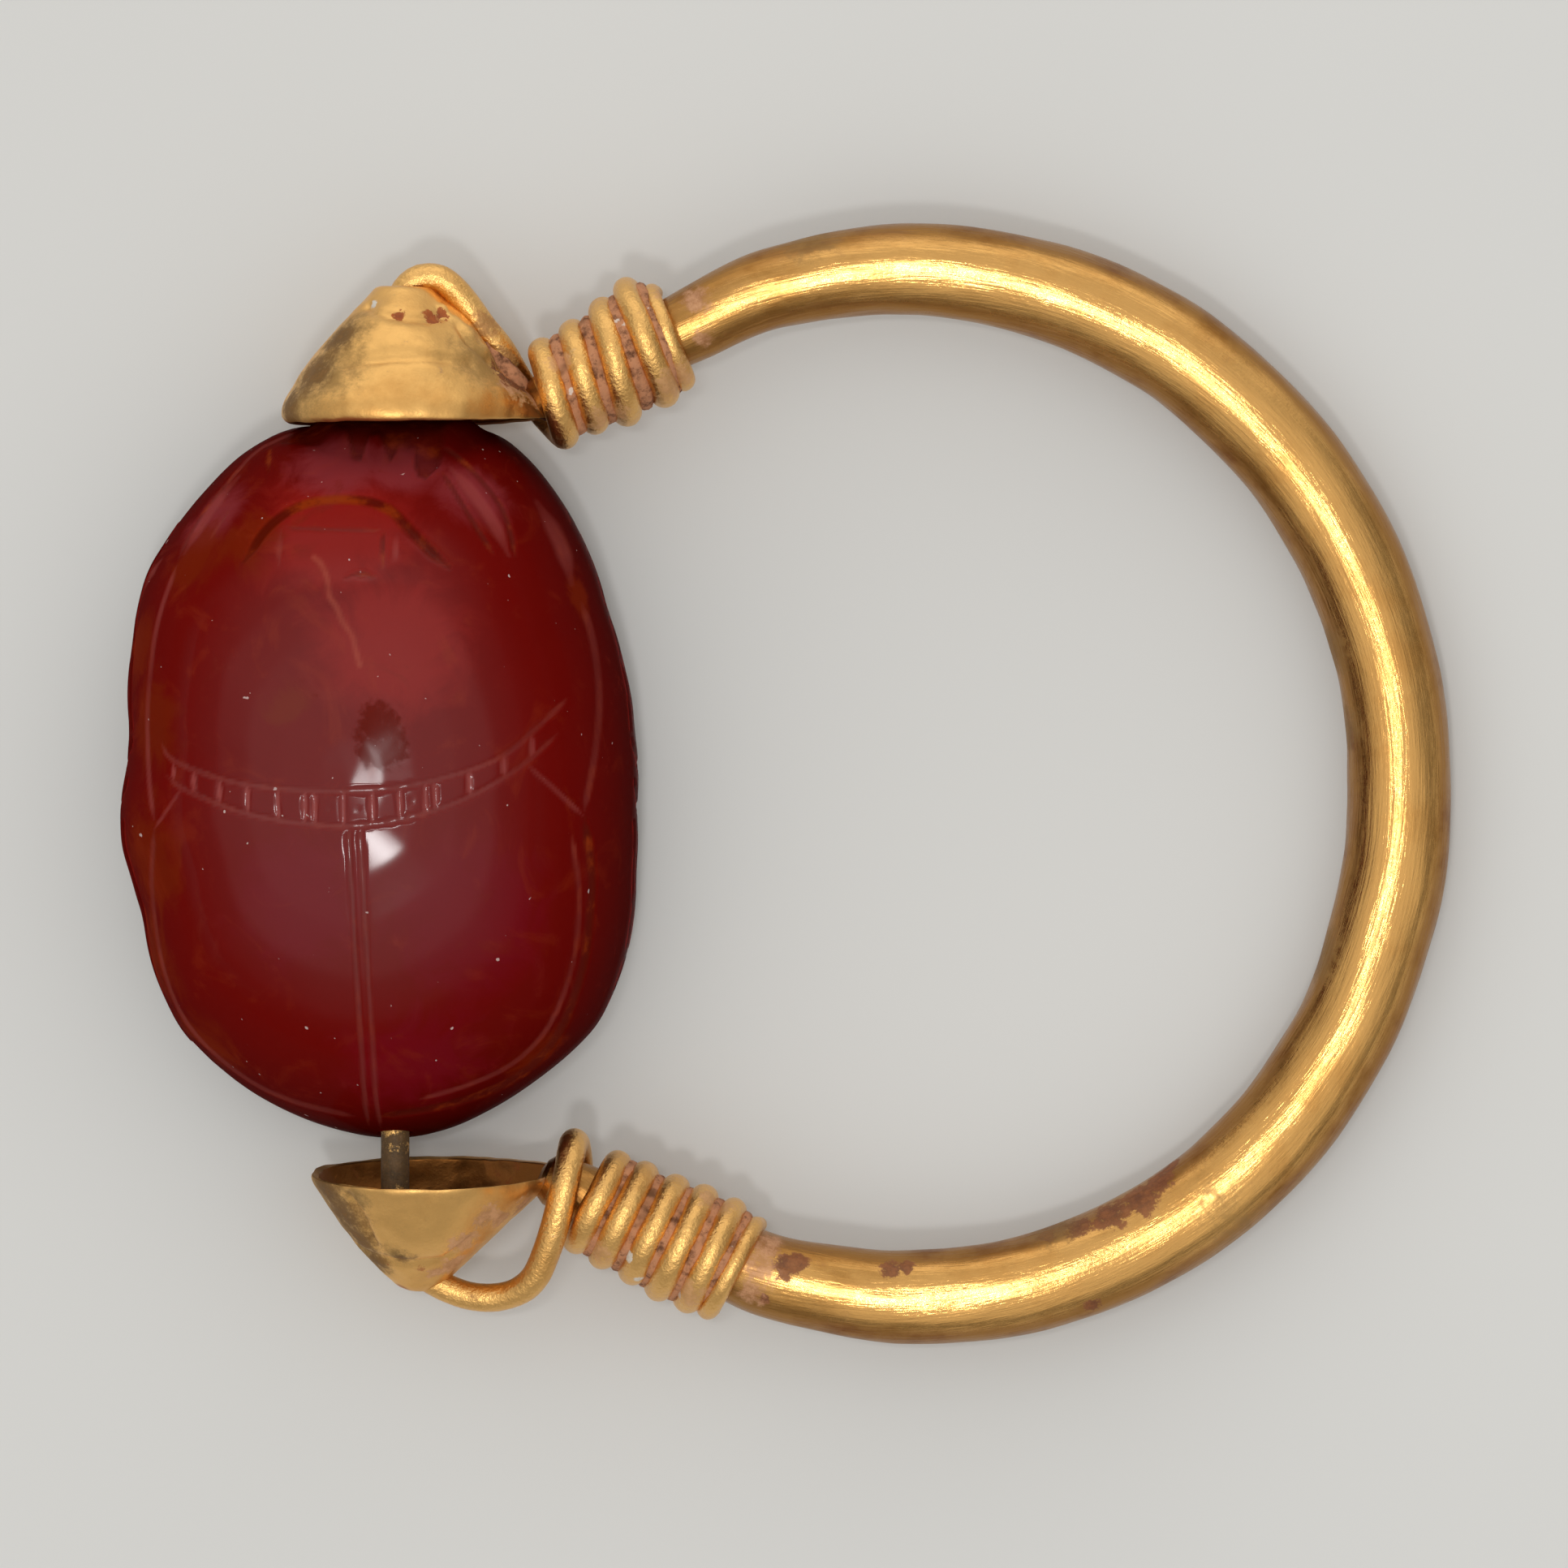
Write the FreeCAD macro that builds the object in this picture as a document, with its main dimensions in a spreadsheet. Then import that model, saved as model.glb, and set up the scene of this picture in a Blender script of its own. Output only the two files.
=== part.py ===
"""Scarab swivel ring: a carved stone seal that turns on the wire of a gold finger ring.

A thick gold hoop narrows to two thin ends. One wire runs through the seal, leaves each side
through a cone-shaped sheet cup, loops over and is wound round the end of the hoop, where it
binds the cup's tongue to it.

Frame: the flat face of the seal lies on z = 0 and the origin is its centre. +Y is the head of the
beetle and the way of the wire, +X points from the seal to the hoop, +Z is the beetle's back.
The hoop, cups and wire are drawn in the plane of the hoop, the wire's axis on Y, and are then
lowered about that axis until the far side of the hoop touches z = 0 too.
"""

import FreeCAD
import Part
import Sketcher
import math
import os

Vector = FreeCAD.Vector

# Driving sizes, in millimetres and degrees.
SIZES = {
    # the carved seal
    "seal_length": 13.74,
    "seal_width": 10.0,
    "seal_height": 7.0,
    "axis_height": 2.5,
    "bore_clearance": 0.06,
    # the wire, as thick in the seal as in its turns
    "wire_diameter": 0.55,
    "turn_clearance": 0.03,
    "upper_pitch": 0.64,
    "lower_pitch": 0.61,
    "upper_lead": 0.28,
    "lower_lead": 1.27,
    "lower_first_front": 0.54,
    "lower_first_top": 0.36,
    "upper_loop_rise": 0.18,
    "lower_loop_drop": 0.11,
    # the hoop: how far the middle of its rod stands beyond the seal's ends, and how far from
    # the wire its thin ends begin
    "hoop_reach": 3.03,
    "hoop_setback": 6.315,
    "hoop_thickness": 2.0,
    "upper_end_length": 3.6,
    "lower_end_length": 4.5,
    "upper_tip_diameter": 0.9,
    "lower_tip_diameter": 1.0,
    "upper_end_slope": 26.5,
    "lower_end_slope": 24.2,
    "seat_depth": 0.27,
    # the sheet cups
    "sheet_thickness": 0.15,
    "tongue_width": 0.44,
    "tongue_length": 2.6,
    "shelf_width": 1.0,
    "upper_rim_gap": 0.08,
    "upper_cup_height": 2.65,
    "upper_cup_radius": 2.2,
    "upper_shoulder_radius": 1.46,
    "upper_shoulder_height": 1.6,
    "upper_apex_radius": 0.48,
    "upper_cup_shift": 0.1,
    "upper_cup_tilt": 1.0,
    "upper_band_height": 0.45,
    "lower_rim_gap": 0.68,
    "lower_cup_height": 2.3,
    "lower_cup_radius": 2.1,
    "lower_shoulder_radius": 1.6,
    "lower_shoulder_height": 0.95,
    "lower_apex_radius": 0.45,
    "lower_cup_shift": 0.48,
    "lower_cup_tilt": 9.0,
    "lower_band_height": 0.12,
    "exit_clearance": 0.05,
}

# Windings: whole and half turns after the first rise, with the share of each pitch that the
# wire advances on the front.
UPPER_TURNS = 4.5
LOWER_TURNS = 5.5
UPPER_FRONT_SHARE = 0.5
LOWER_FRONT_SHARE = 0.42

# A slanted sheet is this much thicker across than through.
FLANK_SHARE = 1.3

# The thin ends begin this share of the hoop's radius behind its centre.
END_CHORD_SHARE = 0.35

# The hoop's radius and centre, which follow the seal's length, as expressions.
HOOP_RADIUS = "(Sizes.seal_length / 2 + Sizes.hoop_reach)"
HOOP_CENTRE = f"(Sizes.hoop_setback + {HOOP_RADIUS} * {END_CHORD_SHARE})"

# The rod of the hoop at each angle from +X: its radius as a share of the hoop's radius and its
# thickness as a share of hoop_thickness. It was hammered round by eye.
HOOP_SHARES = [
    (114, 0.984, 0.72),
    (104, 0.998, 0.78),
    (90, 1.004, 0.885),
    (75, 1.002, 0.945),
    (60, 0.999, 0.985),
    (45, 0.991, 0.995),
    (30, 0.984, 0.995),
    (15, 0.977, 0.99),
    (0, 0.974, 0.995),
    (-15, 0.980, 1.0),
    (-30, 0.993, 0.98),
    (-45, 1.004, 0.985),
    (-60, 1.010, 0.96),
    (-75, 1.0105, 0.95),
    (-90, 1.004, 0.905),
    (-100, 0.997, 0.84),
    (-107, 0.993, 0.80),
]

# The seal at each height: share of seal_height, share of the plan below.
SEAL_SHARES = [
    (0.0, 0.945),
    (0.10, 0.975),
    (0.25, 1.0),
    (0.42, 0.98),
    (0.58, 0.915),
    (0.72, 0.81),
    (0.84, 0.665),
    (0.93, 0.48),
    (0.985, 0.26),
    (1.0, 0.12),
]

# The seal's plan where it is widest, from its right side round by its head: shares of half its
# width and half its length. The head end is blunt and the left flank bulges.
PLAN_SHARES = [
    (0.922, -0.08),
    (0.915, 0.13),
    (0.872, 0.335),
    (0.732, 0.655),
    (0.50, 0.895),
    (0.24, 0.985),
    (-0.02, 0.998),
    (-0.28, 0.985),
    (-0.57, 0.91),
    (-0.804, 0.776),
    (-0.97, 0.60),
    (-1.04, 0.378),
    (-1.056, 0.05),
    (-1.086, -0.131),
    (-0.996, -0.377),
    (-0.85, -0.68),
    (-0.60, -0.86),
    (-0.286, -0.969),
    (0.0, -1.0),
    (0.22, -0.969),
    (0.50, -0.856),
    (0.774, -0.68),
    (0.898, -0.422),
]

# The place that the levels draw in towards, as shares of half the seal's width and length.
MIDDLE_SHARE = (-0.08, 0.0)

doc = FreeCAD.newDocument("scarab_swivel_ring")


def make_sheet():
    """Write the driving sizes into a spreadsheet, one alias each."""
    sheet = doc.addObject("Spreadsheet::Sheet", "Sizes")
    for row, (alias, value) in enumerate(SIZES.items(), start=1):
        sheet.set(f"A{row}", alias)
        sheet.set(f"B{row}", str(value))
        sheet.setAlias(f"B{row}", alias)
    doc.recompute()
    return sheet


sheet = make_sheet()
size = {alias: float(sheet.get(alias)) for alias in SIZES}
wire_radius = size["wire_diameter"] / 2
upper_rim = size["seal_length"] / 2 + size["upper_rim_gap"]
lower_rim = -size["seal_length"] / 2 - size["lower_rim_gap"]
hoop_radius = size["seal_length"] / 2 + size["hoop_reach"]
hoop_centre = size["hoop_setback"] + hoop_radius * END_CHORD_SHARE


class HoopEnd:
    """The straight thin end of the hoop: a cone from its root on the rod to its tip."""

    def __init__(self, name, station, side):
        angle, radius_share, thickness_share = station
        radius = hoop_radius * radius_share
        slope = math.radians(size[f"{name}_end_slope"])
        turn = math.radians(angle)
        self.length = size[f"{name}_end_length"]
        self.tip_radius = size[f"{name}_tip_diameter"] / 2
        self.root_radius = size["hoop_thickness"] * thickness_share / 2
        self.root = Vector(hoop_centre + radius * math.cos(turn), radius * math.sin(turn), 0)
        self.along = Vector(math.cos(slope), side * math.sin(slope), 0)
        self.up = Vector(-side * math.sin(slope), math.cos(slope), 0)
        self.tip = self.root - self.along * self.length

    def centre(self, distance):
        """The point of the end's axis at a distance from its tip."""
        return self.tip + self.along * distance

    def core(self, distance):
        """The radius of the end at a distance from its tip."""
        share = distance / self.length
        return self.tip_radius + (self.root_radius - self.tip_radius) * share

    def turn_station(self, distance, quarter, advance):
        """A point and a direction of a turn: quarter 0 below, 1 in front, 2 above, 3 behind."""
        front = Vector(0, 0, 1)
        around = [(self.up * -1, front), (front, self.up), (self.up, front * -1)]
        around.append((front * -1, self.up * -1))
        outward, heading = around[quarter % 4]
        radius = self.core(distance) + size["turn_clearance"] + wire_radius
        return self.centre(distance) + outward * radius, heading + self.along * advance


upper_end = HoopEnd("upper", HOOP_SHARES[0], 1)
lower_end = HoopEnd("lower", HOOP_SHARES[-1], -1)


def helix(end, lead, pitch, front_share, turns):
    """Stations of a winding, a quarter turn apart, from its first lowest point."""
    stations = []
    distance = lead
    for quarter in range(int(turns * 4) + 1):
        advance = pitch / (2 * math.pi * (end.core(distance) + wire_radius))
        stations.append(end.turn_station(distance, quarter, advance))
        in_front = quarter % 4 < 2
        distance += pitch / 2 * (front_share if in_front else 1 - front_share)
    return stations


# The loops between the cups and the windings, from the cup's side of each. A place is a share of
# the way across to the tip of the hoop's end, a share of the way from the loop's height to that
# tip, and a depth as a share of the wire's thickness. Each place has the wire's direction there.
UPPER_LOOP_SHARES = [
    ((0.24, 0.0, 0.0), (1.0, 0.05, 0.0)),
    ((0.4, 0.06, 0.0), (0.75, -0.66, -0.05)),
    ((0.719, 0.47, -0.25), (0.66, -0.76, -0.26)),
]
LOWER_LOOP_SHARES = [
    ((0.31, 0.10, -0.45), (0.88, -0.45, -0.10)),
    ((0.66, 0.0, -0.22), (1.0, 0.05, 0.2)),
    ((1.0, 0.24, 0.75), (0.38, 0.82, 0.42)),
]

# How far up each cup the straight pin reaches, and how much the wire leans along the hoop's end,
# for each part across it, where it comes down behind the upper end and round the lower one.
UPPER_PIN_SHARE = 0.67
LOWER_PIN_SHARE = 0.4
UPPER_ENTRY_LEAN = 0.25
LOWER_FRONT_LEAN = -0.2
LOWER_TOP_LEAN = 0.1
LOWER_BACK_LEAN = 0.5

# The stations of a route, from the pin on, along which its cup is opened for it.
PASSAGE_STATIONS = 4


def loop_stations(end, height, table):
    """Stations of a loop that reaches a height above or below its cup."""
    stations = []
    for (across, towards, depth), heading in table:
        place = Vector(end.tip.x * across, height + (end.tip.y - height) * towards, 0)
        place.z = size["wire_diameter"] * depth
        stations.append((place, Vector(*heading)))
    return stations


def upper_route():
    """From the straight pin, through the upper cup, over the loop and along the winding."""
    height = size["upper_cup_height"]
    top = upper_rim + height + size["upper_loop_rise"]
    stations = [(Vector(0, upper_rim + height * UPPER_PIN_SHARE, 0), Vector(0, 1, 0))]
    stations += loop_stations(upper_end, top, UPPER_LOOP_SHARES)
    entry = size["upper_lead"] - size["upper_pitch"] / 4
    stations.append(upper_end.turn_station(entry, 3, UPPER_ENTRY_LEAN))
    lead, pitch = size["upper_lead"], size["upper_pitch"]
    stations += helix(upper_end, lead, pitch, UPPER_FRONT_SHARE, UPPER_TURNS)
    return stations


def lower_route():
    """From the straight pin, through the lower cup, over the loop and along the winding."""
    height = size["lower_cup_height"]
    bottom = lower_rim - height - size["lower_loop_drop"]
    stations = [(Vector(0, lower_rim - height * LOWER_PIN_SHARE, 0), Vector(0, -1, 0))]
    stations += loop_stations(lower_end, bottom, LOWER_LOOP_SHARES)
    front, top = size["lower_first_front"], size["lower_first_top"]
    stations.append(lower_end.turn_station(front, 1, LOWER_FRONT_LEAN))
    stations.append(lower_end.turn_station(top, 2, LOWER_TOP_LEAN))
    lead, pitch = size["lower_lead"], size["lower_pitch"]
    stations.append(lower_end.turn_station((top + lead) / 2, 3, LOWER_BACK_LEAN))
    stations += helix(lower_end, lead, pitch, LOWER_FRONT_SHARE, LOWER_TURNS)
    return stations


# An arc whose sagitta is a smaller share of its chord is a line, and two directions whose unit
# vectors differ by less are one.
STRAIGHT_SHARE = 1e-4
SAME_HEADING = 1e-9


def arc_edge(start, heading, end):
    """The arc that leaves a point in a direction and reaches another point."""
    chord = end - start
    side = chord - heading * chord.dot(heading)
    if side.Length < chord.Length * STRAIGHT_SHARE:
        return Part.makeLine(start, end)
    radius = chord.dot(chord) / (2 * side.Length)
    centre = start + side.normalize() * radius
    middle = (start + end) * 0.5 - centre
    if chord.dot(heading) < 0:
        middle = middle * -1
    return Part.Arc(start, centre + middle.normalize() * radius, end).toShape()


def biarc(first, second):
    """Two arcs that join two points with the directions that they hold there."""
    start, out = first
    end, into = second
    gap = end - start
    both = out + into
    turn = 2 * (1 - out.dot(into))
    along = gap.dot(both)
    if turn < SAME_HEADING:
        reach_out = gap.dot(gap) / (2 * along)
    else:
        reach_out = (math.sqrt(along * along + turn * gap.dot(gap)) - along) / turn
    joint = (start + end + (out - into) * reach_out) * 0.5
    onward = (joint - start).normalize()
    heading = onward * (2 * onward.dot(out)) - out
    return [arc_edge(start, out, joint), arc_edge(joint, heading, end)]


def route_edges(stations):
    """Arcs through the stations, whose directions are made of unit length first."""
    held = [(point, Vector(heading).normalize()) for point, heading in stations]
    edges = []
    for first, second in zip(held, held[1:]):
        edges += biarc(first, second)
    return edges


def tube(edges, radius):
    """A round tube along edges that run on from each other."""
    spine = Part.Wire(edges)
    start = edges[0].valueAt(edges[0].FirstParameter)
    heading = edges[0].tangentAt(edges[0].FirstParameter)
    ring = Part.Wire(Part.Circle(start, heading, radius).toShape())
    shell = Part.BRepOffsetAPI.MakePipeShell(spine)
    shell.add(ring)
    shell.build()
    shell.makeSolid()
    return shell.shape()


def straight_end(station):
    """A straight end of the wire, as long as the wire is thick, after a station."""
    point, heading = station
    return Part.makeLine(point, point + Vector(heading).normalize() * size["wire_diameter"])


def turned_round(edges):
    """The same edges run the other way."""
    stretch = []
    for edge in reversed(edges):
        first, last = edge.FirstParameter, edge.LastParameter
        start, middle, end = (edge.valueAt(at) for at in (first, (first + last) / 2, last))
        if isinstance(edge.Curve, Part.Line):
            stretch.append(Part.makeLine(end, start))
        else:
            stretch.append(Part.Arc(end, middle, start).toShape())
    return stretch


def least_gap(edges):
    """The least gap between stretches of the wire that lie further apart along it."""
    step = wire_radius / 2
    points = []
    travelled = 0.0
    for edge in edges:
        count = max(1, round(edge.Length / step))
        for index in range(count):
            share = index / count
            span = edge.LastParameter - edge.FirstParameter
            points.append((travelled + share * edge.Length,
                           edge.valueAt(edge.FirstParameter + share * span)))
        travelled += edge.Length
    least = travelled
    for index, (run, point) in enumerate(points):
        for other_run, other in points[index + 1:]:
            if other_run - run > math.pi * size["wire_diameter"]:
                least = min(least, point.distanceToPoint(other))
    return least - size["wire_diameter"]


def make_wire():
    """The swivel wire: winding, loop, pin, loop and winding in one unbroken tube."""
    upper = upper_route()
    lower = lower_route()
    pin = Part.makeLine(upper[0][0], lower[0][0])
    edges = turned_round(route_edges(upper) + [straight_end(upper[-1])]) + [pin]
    edges += route_edges(lower) + [straight_end(lower[-1])]
    wire = doc.addObject("Part::Feature", "swivel_wire")
    wire.Label = "swivel_wire"
    wire.Shape = tube(edges, wire_radius)
    place_in_ring(wire)
    print("wire: least gap to itself %.3f mm" % least_gap(edges))
    swept = math.pi * wire_radius ** 2 * sum(edge.Length for edge in edges)
    print("wire: volume over section times length %.4f" % (wire.Shape.Volume / swept))
    return wire


def sheet_value(term):
    """What an expression on the sheet comes to, in millimetres."""
    found = sheet.evalExpression(term)
    return float(getattr(found, "Value", found))


def outline_sketch(body, name, plane, points):
    """A closed polygon, each corner held by expressions for x and y, or by None on the x axis."""
    sketch = body.newObject("Sketcher::SketchObject", name)
    origin_plane = next(f for f in body.Origin.OriginFeatures if f.Role == plane)
    sketch.AttachmentSupport = (origin_plane, [""])
    sketch.MapMode = "FlatFace"
    corners = [
        Vector(sheet_value(x_term), 0 if y_term is None else sheet_value(y_term), 0)
        for x_term, y_term in points
    ]
    for start, end in zip(corners, corners[1:] + corners[:1]):
        sketch.addGeometry(Part.LineSegment(start, end), False)
    for side in range(len(corners)):
        following = (side + 1) % len(corners)
        sketch.addConstraint(Sketcher.Constraint("Coincident", side, 2, following, 1))
    for side, (x_term, y_term) in enumerate(points):
        held = [("DistanceX", x_term, corners[side].x)]
        if y_term is None:
            sketch.addConstraint(Sketcher.Constraint("PointOnObject", side, 1, -1))
        else:
            held.append(("DistanceY", y_term, corners[side].y))
        for kind, term, value in held:
            number = sketch.addConstraint(Sketcher.Constraint(kind, -1, 1, side, 1, value))
            sketch.setExpression(f"Constraints[{number}]", term)
    return sketch


def stand_across(item, body, heading, x_term, y_term):
    """Stand a section across a direction of the hoop's plane, at a place of that plane."""
    plane = next(f for f in body.Origin.OriginFeatures if f.Role == "XY_Plane")
    item.AttachmentSupport = (plane, [""])
    item.MapMode = "FlatFace"
    item.AttachmentOffset = FreeCAD.Placement(Vector(), facing(heading))
    item.setExpression("AttachmentOffset.Base.x", x_term)
    item.setExpression("AttachmentOffset.Base.y", y_term)


def facing(degrees):
    """The turn that points a section's normal along a direction of the hoop plane."""
    turn = math.radians(degrees)
    across = Vector(math.sin(turn), -math.cos(turn), 0)
    return FreeCAD.Rotation(across, Vector(0, 0, -1), Vector(math.cos(turn), math.sin(turn), 0))


def rod_place(angle, radius_share):
    """The middle of the rod at an angle, as expressions for x and y."""
    radius = f"{HOOP_RADIUS} * {radius_share}"
    return f"{HOOP_CENTRE} + {radius} * cos({angle})", f"{radius} * sin({angle})"


def rod_section(body, number, station, heading):
    """A round section of the rod in the hoop's body."""
    angle, radius_share, thickness_share = station
    section = body.newObject("Sketcher::SketchObject", f"rod_section_{number}")
    stand_across(section, body, heading, *rod_place(angle, radius_share))
    radius = size["hoop_thickness"] * thickness_share / 2
    section.addGeometry(Part.Circle(Vector(), Vector(0, 0, 1), radius), False)
    section.addConstraint(Sketcher.Constraint("Coincident", 0, 3, -1, 1))
    held = section.addConstraint(Sketcher.Constraint("Radius", 0, radius))
    section.setExpression(f"Constraints[{held}]", f"Sizes.hoop_thickness / 2 * {thickness_share}")
    return section


def end_place(name, side, distance, offset):
    """A point beside the axis of an end, towards the finger, as expressions for x and y."""
    angle, radius_share, _ = HOOP_SHARES[0] if side > 0 else HOOP_SHARES[-1]
    x_term, y_term = rod_place(angle, radius_share)
    run = f"({distance} - Sizes.{name}_end_length)"
    slope = f"Sizes.{name}_end_slope"
    return (
        f"{x_term} + {run} * cos({slope}) + ({offset}) * sin({slope})",
        f"{y_term} + {side} * ({run} * sin({slope}) - ({offset}) * cos({slope}))",
    )


def thin_end(body, name, side, station):
    """The straight cone of one end, with the flat that its tongue is seated on."""
    angle, radius_share, thickness_share = station
    cone = body.newObject("PartDesign::AdditiveCone", f"{name}_end")
    heading = 180 + side * size[f"{name}_end_slope"]
    stand_across(cone, body, heading, *rod_place(angle, radius_share))
    cone.setExpression("Radius1", f"Sizes.hoop_thickness / 2 * {thickness_share}")
    cone.setExpression("Radius2", f"Sizes.{name}_tip_diameter / 2")
    cone.setExpression("Height", f"Sizes.{name}_end_length")
    doc.recompute()
    depth = "Sizes.seat_depth"
    beyond = "Sizes.hoop_thickness"
    corners = [
        end_place(name, side, f"-{beyond}", depth),
        end_place(name, side, "Sizes.tongue_length", depth),
        end_place(name, side, "Sizes.tongue_length", beyond),
        end_place(name, side, f"-{beyond}", beyond),
    ]
    before = cone.Shape.Volume
    seat = body.newObject("PartDesign::Pocket", f"{name}_seat")
    seat.Profile = outline_sketch(body, f"{name}_seat_outline", "XY_Plane", corners)
    seat.SideType = "Symmetric"
    seat.setExpression("Length", "2 * Sizes.hoop_thickness")
    doc.recompute()
    if seat.Shape.Volume >= before:
        raise RuntimeError(f"{name} seat cuts nothing")


def make_hoop():
    """The hoop: a thick rod lofted through its sections, and its two thin ends."""
    body = doc.addObject("PartDesign::Body", "hoop")
    body.Label = "hoop"
    last = len(HOOP_SHARES) - 1
    sections = []
    for number, station in enumerate(HOOP_SHARES):
        heading = station[0] + 90
        if number == 0:
            heading = 180 + size["upper_end_slope"]
        if number == last:
            heading = -size["lower_end_slope"]
        sections.append(rod_section(body, number, station, heading))
    rod = body.newObject("PartDesign::AdditiveLoft", "rod")
    rod.Profile = sections[0]
    rod.Sections = [(section, [""]) for section in sections[1:]]
    rod.Ruled = False
    doc.recompute()
    thin_end(body, "upper", 1, HOOP_SHARES[0])
    thin_end(body, "lower", -1, HOOP_SHARES[-1])
    place_in_ring(body)
    return body


def place_in_ring(item):
    """Lower a piece drawn in the hoop's plane about the wire's axis, to where the hoop rests."""
    far_share, thickness_share = next((r, t) for a, r, t in HOOP_SHARES if a == 0)
    drop = f"(Sizes.axis_height - Sizes.hoop_thickness * {thickness_share} / 2)"
    reach = f"({HOOP_CENTRE} + {HOOP_RADIUS} * {far_share})"
    turn = f"rotation(vector(0; 1; 0); asin({drop} / {reach}))"
    item.setExpression("Placement", f"placement(vector(0; 0; Sizes.axis_height); {turn})")


def cup_cone(name, side):
    """The hollow cone of a cup: its rim band, shoulder and open apex, turned about its axis."""
    body = doc.addObject("PartDesign::Body", f"{name}_cone")
    rim = f"Sizes.{name}_cup_radius"
    shoulder = f"Sizes.{name}_shoulder_radius"
    apex = f"Sizes.{name}_apex_radius"
    band_height = f"Sizes.{name}_band_height"
    shoulder_height = f"Sizes.{name}_shoulder_height"
    height = f"Sizes.{name}_cup_height"
    wall = "Sizes.sheet_thickness"
    slant = f"{wall} * {FLANK_SHARE}"
    profile = [
        (rim, None),
        (rim, band_height),
        (shoulder, shoulder_height),
        (apex, height),
        (f"{apex} - {slant}", height),
        (f"{shoulder} - {slant}", shoulder_height),
        (f"{rim} - {wall}", band_height),
        (f"{rim} - {wall}", None),
    ]
    turned = body.newObject("PartDesign::Revolution", f"{name}_shell")
    sketch = outline_sketch(body, f"{name}_profile", "XZ_Plane", profile)
    turned.Profile = sketch
    turned.ReferenceAxis = (sketch, ["V_Axis"])
    turned.Angle = 360
    rim_place = f"{side} * (Sizes.seal_length / 2 + Sizes.{name}_rim_gap)"
    middle = f"vector(Sizes.{name}_cup_shift; {rim_place}; 0)"
    turn = f"rotation(vector(1; 0; 0); -{side} * (90 + Sizes.{name}_cup_tilt))"
    body.setExpression("Placement", f"placement({middle}; {turn})")
    return body


def cup_tongue(name, side):
    """The tongue of a cup: a shelf from its rim, then a strip along the flat of the end."""
    body = doc.addObject("PartDesign::Body", f"{name}_tongue")
    wall = "Sizes.sheet_thickness"
    rim = f"{side} * (Sizes.seal_length / 2 + Sizes.{name}_rim_gap)"
    start = f"Sizes.{name}_cup_shift + Sizes.{name}_cup_radius - 2 * {wall}"
    seat = "Sizes.seat_depth"
    crease = f"-{wall} / 2"
    bend = [
        end_place(name, side, crease, seat),
        end_place(name, side, crease, f"{seat} + {wall}"),
    ]
    shelf = [(start, rim), (start, f"{rim} + {side} * {wall}"), bend[0], bend[1]]
    strip = [
        bend[0],
        end_place(name, side, "Sizes.tongue_length", seat),
        end_place(name, side, "Sizes.tongue_length", f"{seat} + {wall}"),
        bend[1],
    ]
    for part, outline, width in (("shelf", shelf, "shelf_width"), ("strip", strip, "tongue_width")):
        pad = body.newObject("PartDesign::Pad", f"{name}_{part}")
        pad.Profile = outline_sketch(body, f"{name}_{part}_outline", "XY_Plane", outline)
        pad.SideType = "Symmetric"
        pad.setExpression("Length", f"Sizes.{width}")
        doc.recompute()
    return body


def make_cup(name, side, route):
    """A cup: its cone and tongue in one sheet, opened where the wire's route passes through."""
    joined = doc.addObject("Part::Fuse", f"{name}_sheet")
    joined.Base = cup_cone(name, side)
    joined.Tool = cup_tongue(name, side)
    joined.Refine = True
    passage = doc.addObject("Part::Feature", f"{name}_passage")
    passage.Shape = tube(route_edges(route[:PASSAGE_STATIONS]), wire_radius + size["exit_clearance"])
    cup = doc.addObject("Part::Cut", f"{name}_cup")
    cup.Label = f"{name}_cup"
    cup.Base = joined
    cup.Tool = passage
    cup.Refine = True
    place_in_ring(cup)
    return cup


def seal_level(number, height_share, plan_share):
    """The seal's plan at one height, drawn in towards its middle by a share."""
    half_width, half_length = size["seal_width"] / 2, size["seal_length"] / 2
    middle = Vector(half_width * MIDDLE_SHARE[0], half_length * MIDDLE_SHARE[1], 0)
    places = [Vector(half_width * across, half_length * along, 0) for across, along in PLAN_SHARES]
    curve = Part.BSplineCurve()
    curve.interpolate(
        Points=[middle + (place - middle) * plan_share for place in places], PeriodicFlag=True
    )
    level = doc.addObject("Part::Feature", f"seal_level_{number}")
    level.Shape = Part.Wire(curve.toShape())
    level.setExpression("Placement.Base.z", f"Sizes.seal_height * {height_share}")
    return level


def make_scarab():
    """The seal: a flat-faced dome on a low wall, bored along its length for the wire."""
    levels = [seal_level(number, *shares) for number, shares in enumerate(SEAL_SHARES)]
    dome = doc.addObject("Part::Loft", "seal_dome")
    dome.Sections = levels
    dome.Solid = True
    dome.Ruled = False
    bore = doc.addObject("Part::Cylinder", "seal_bore")
    bore.setExpression("Radius", "Sizes.wire_diameter / 2 + Sizes.bore_clearance")
    bore.setExpression("Height", "Sizes.seal_length + 2 * Sizes.wire_diameter")
    bore.Placement = FreeCAD.Placement(Vector(), FreeCAD.Rotation(Vector(1, 0, 0), -90))
    bore.setExpression("Placement.Base.y", "-Sizes.seal_length / 2 - Sizes.wire_diameter")
    bore.setExpression("Placement.Base.z", "Sizes.axis_height")
    scarab = doc.addObject("Part::Cut", "scarab")
    scarab.Label = "scarab"
    scarab.Base = dome
    scarab.Tool = bore
    return scarab


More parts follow.
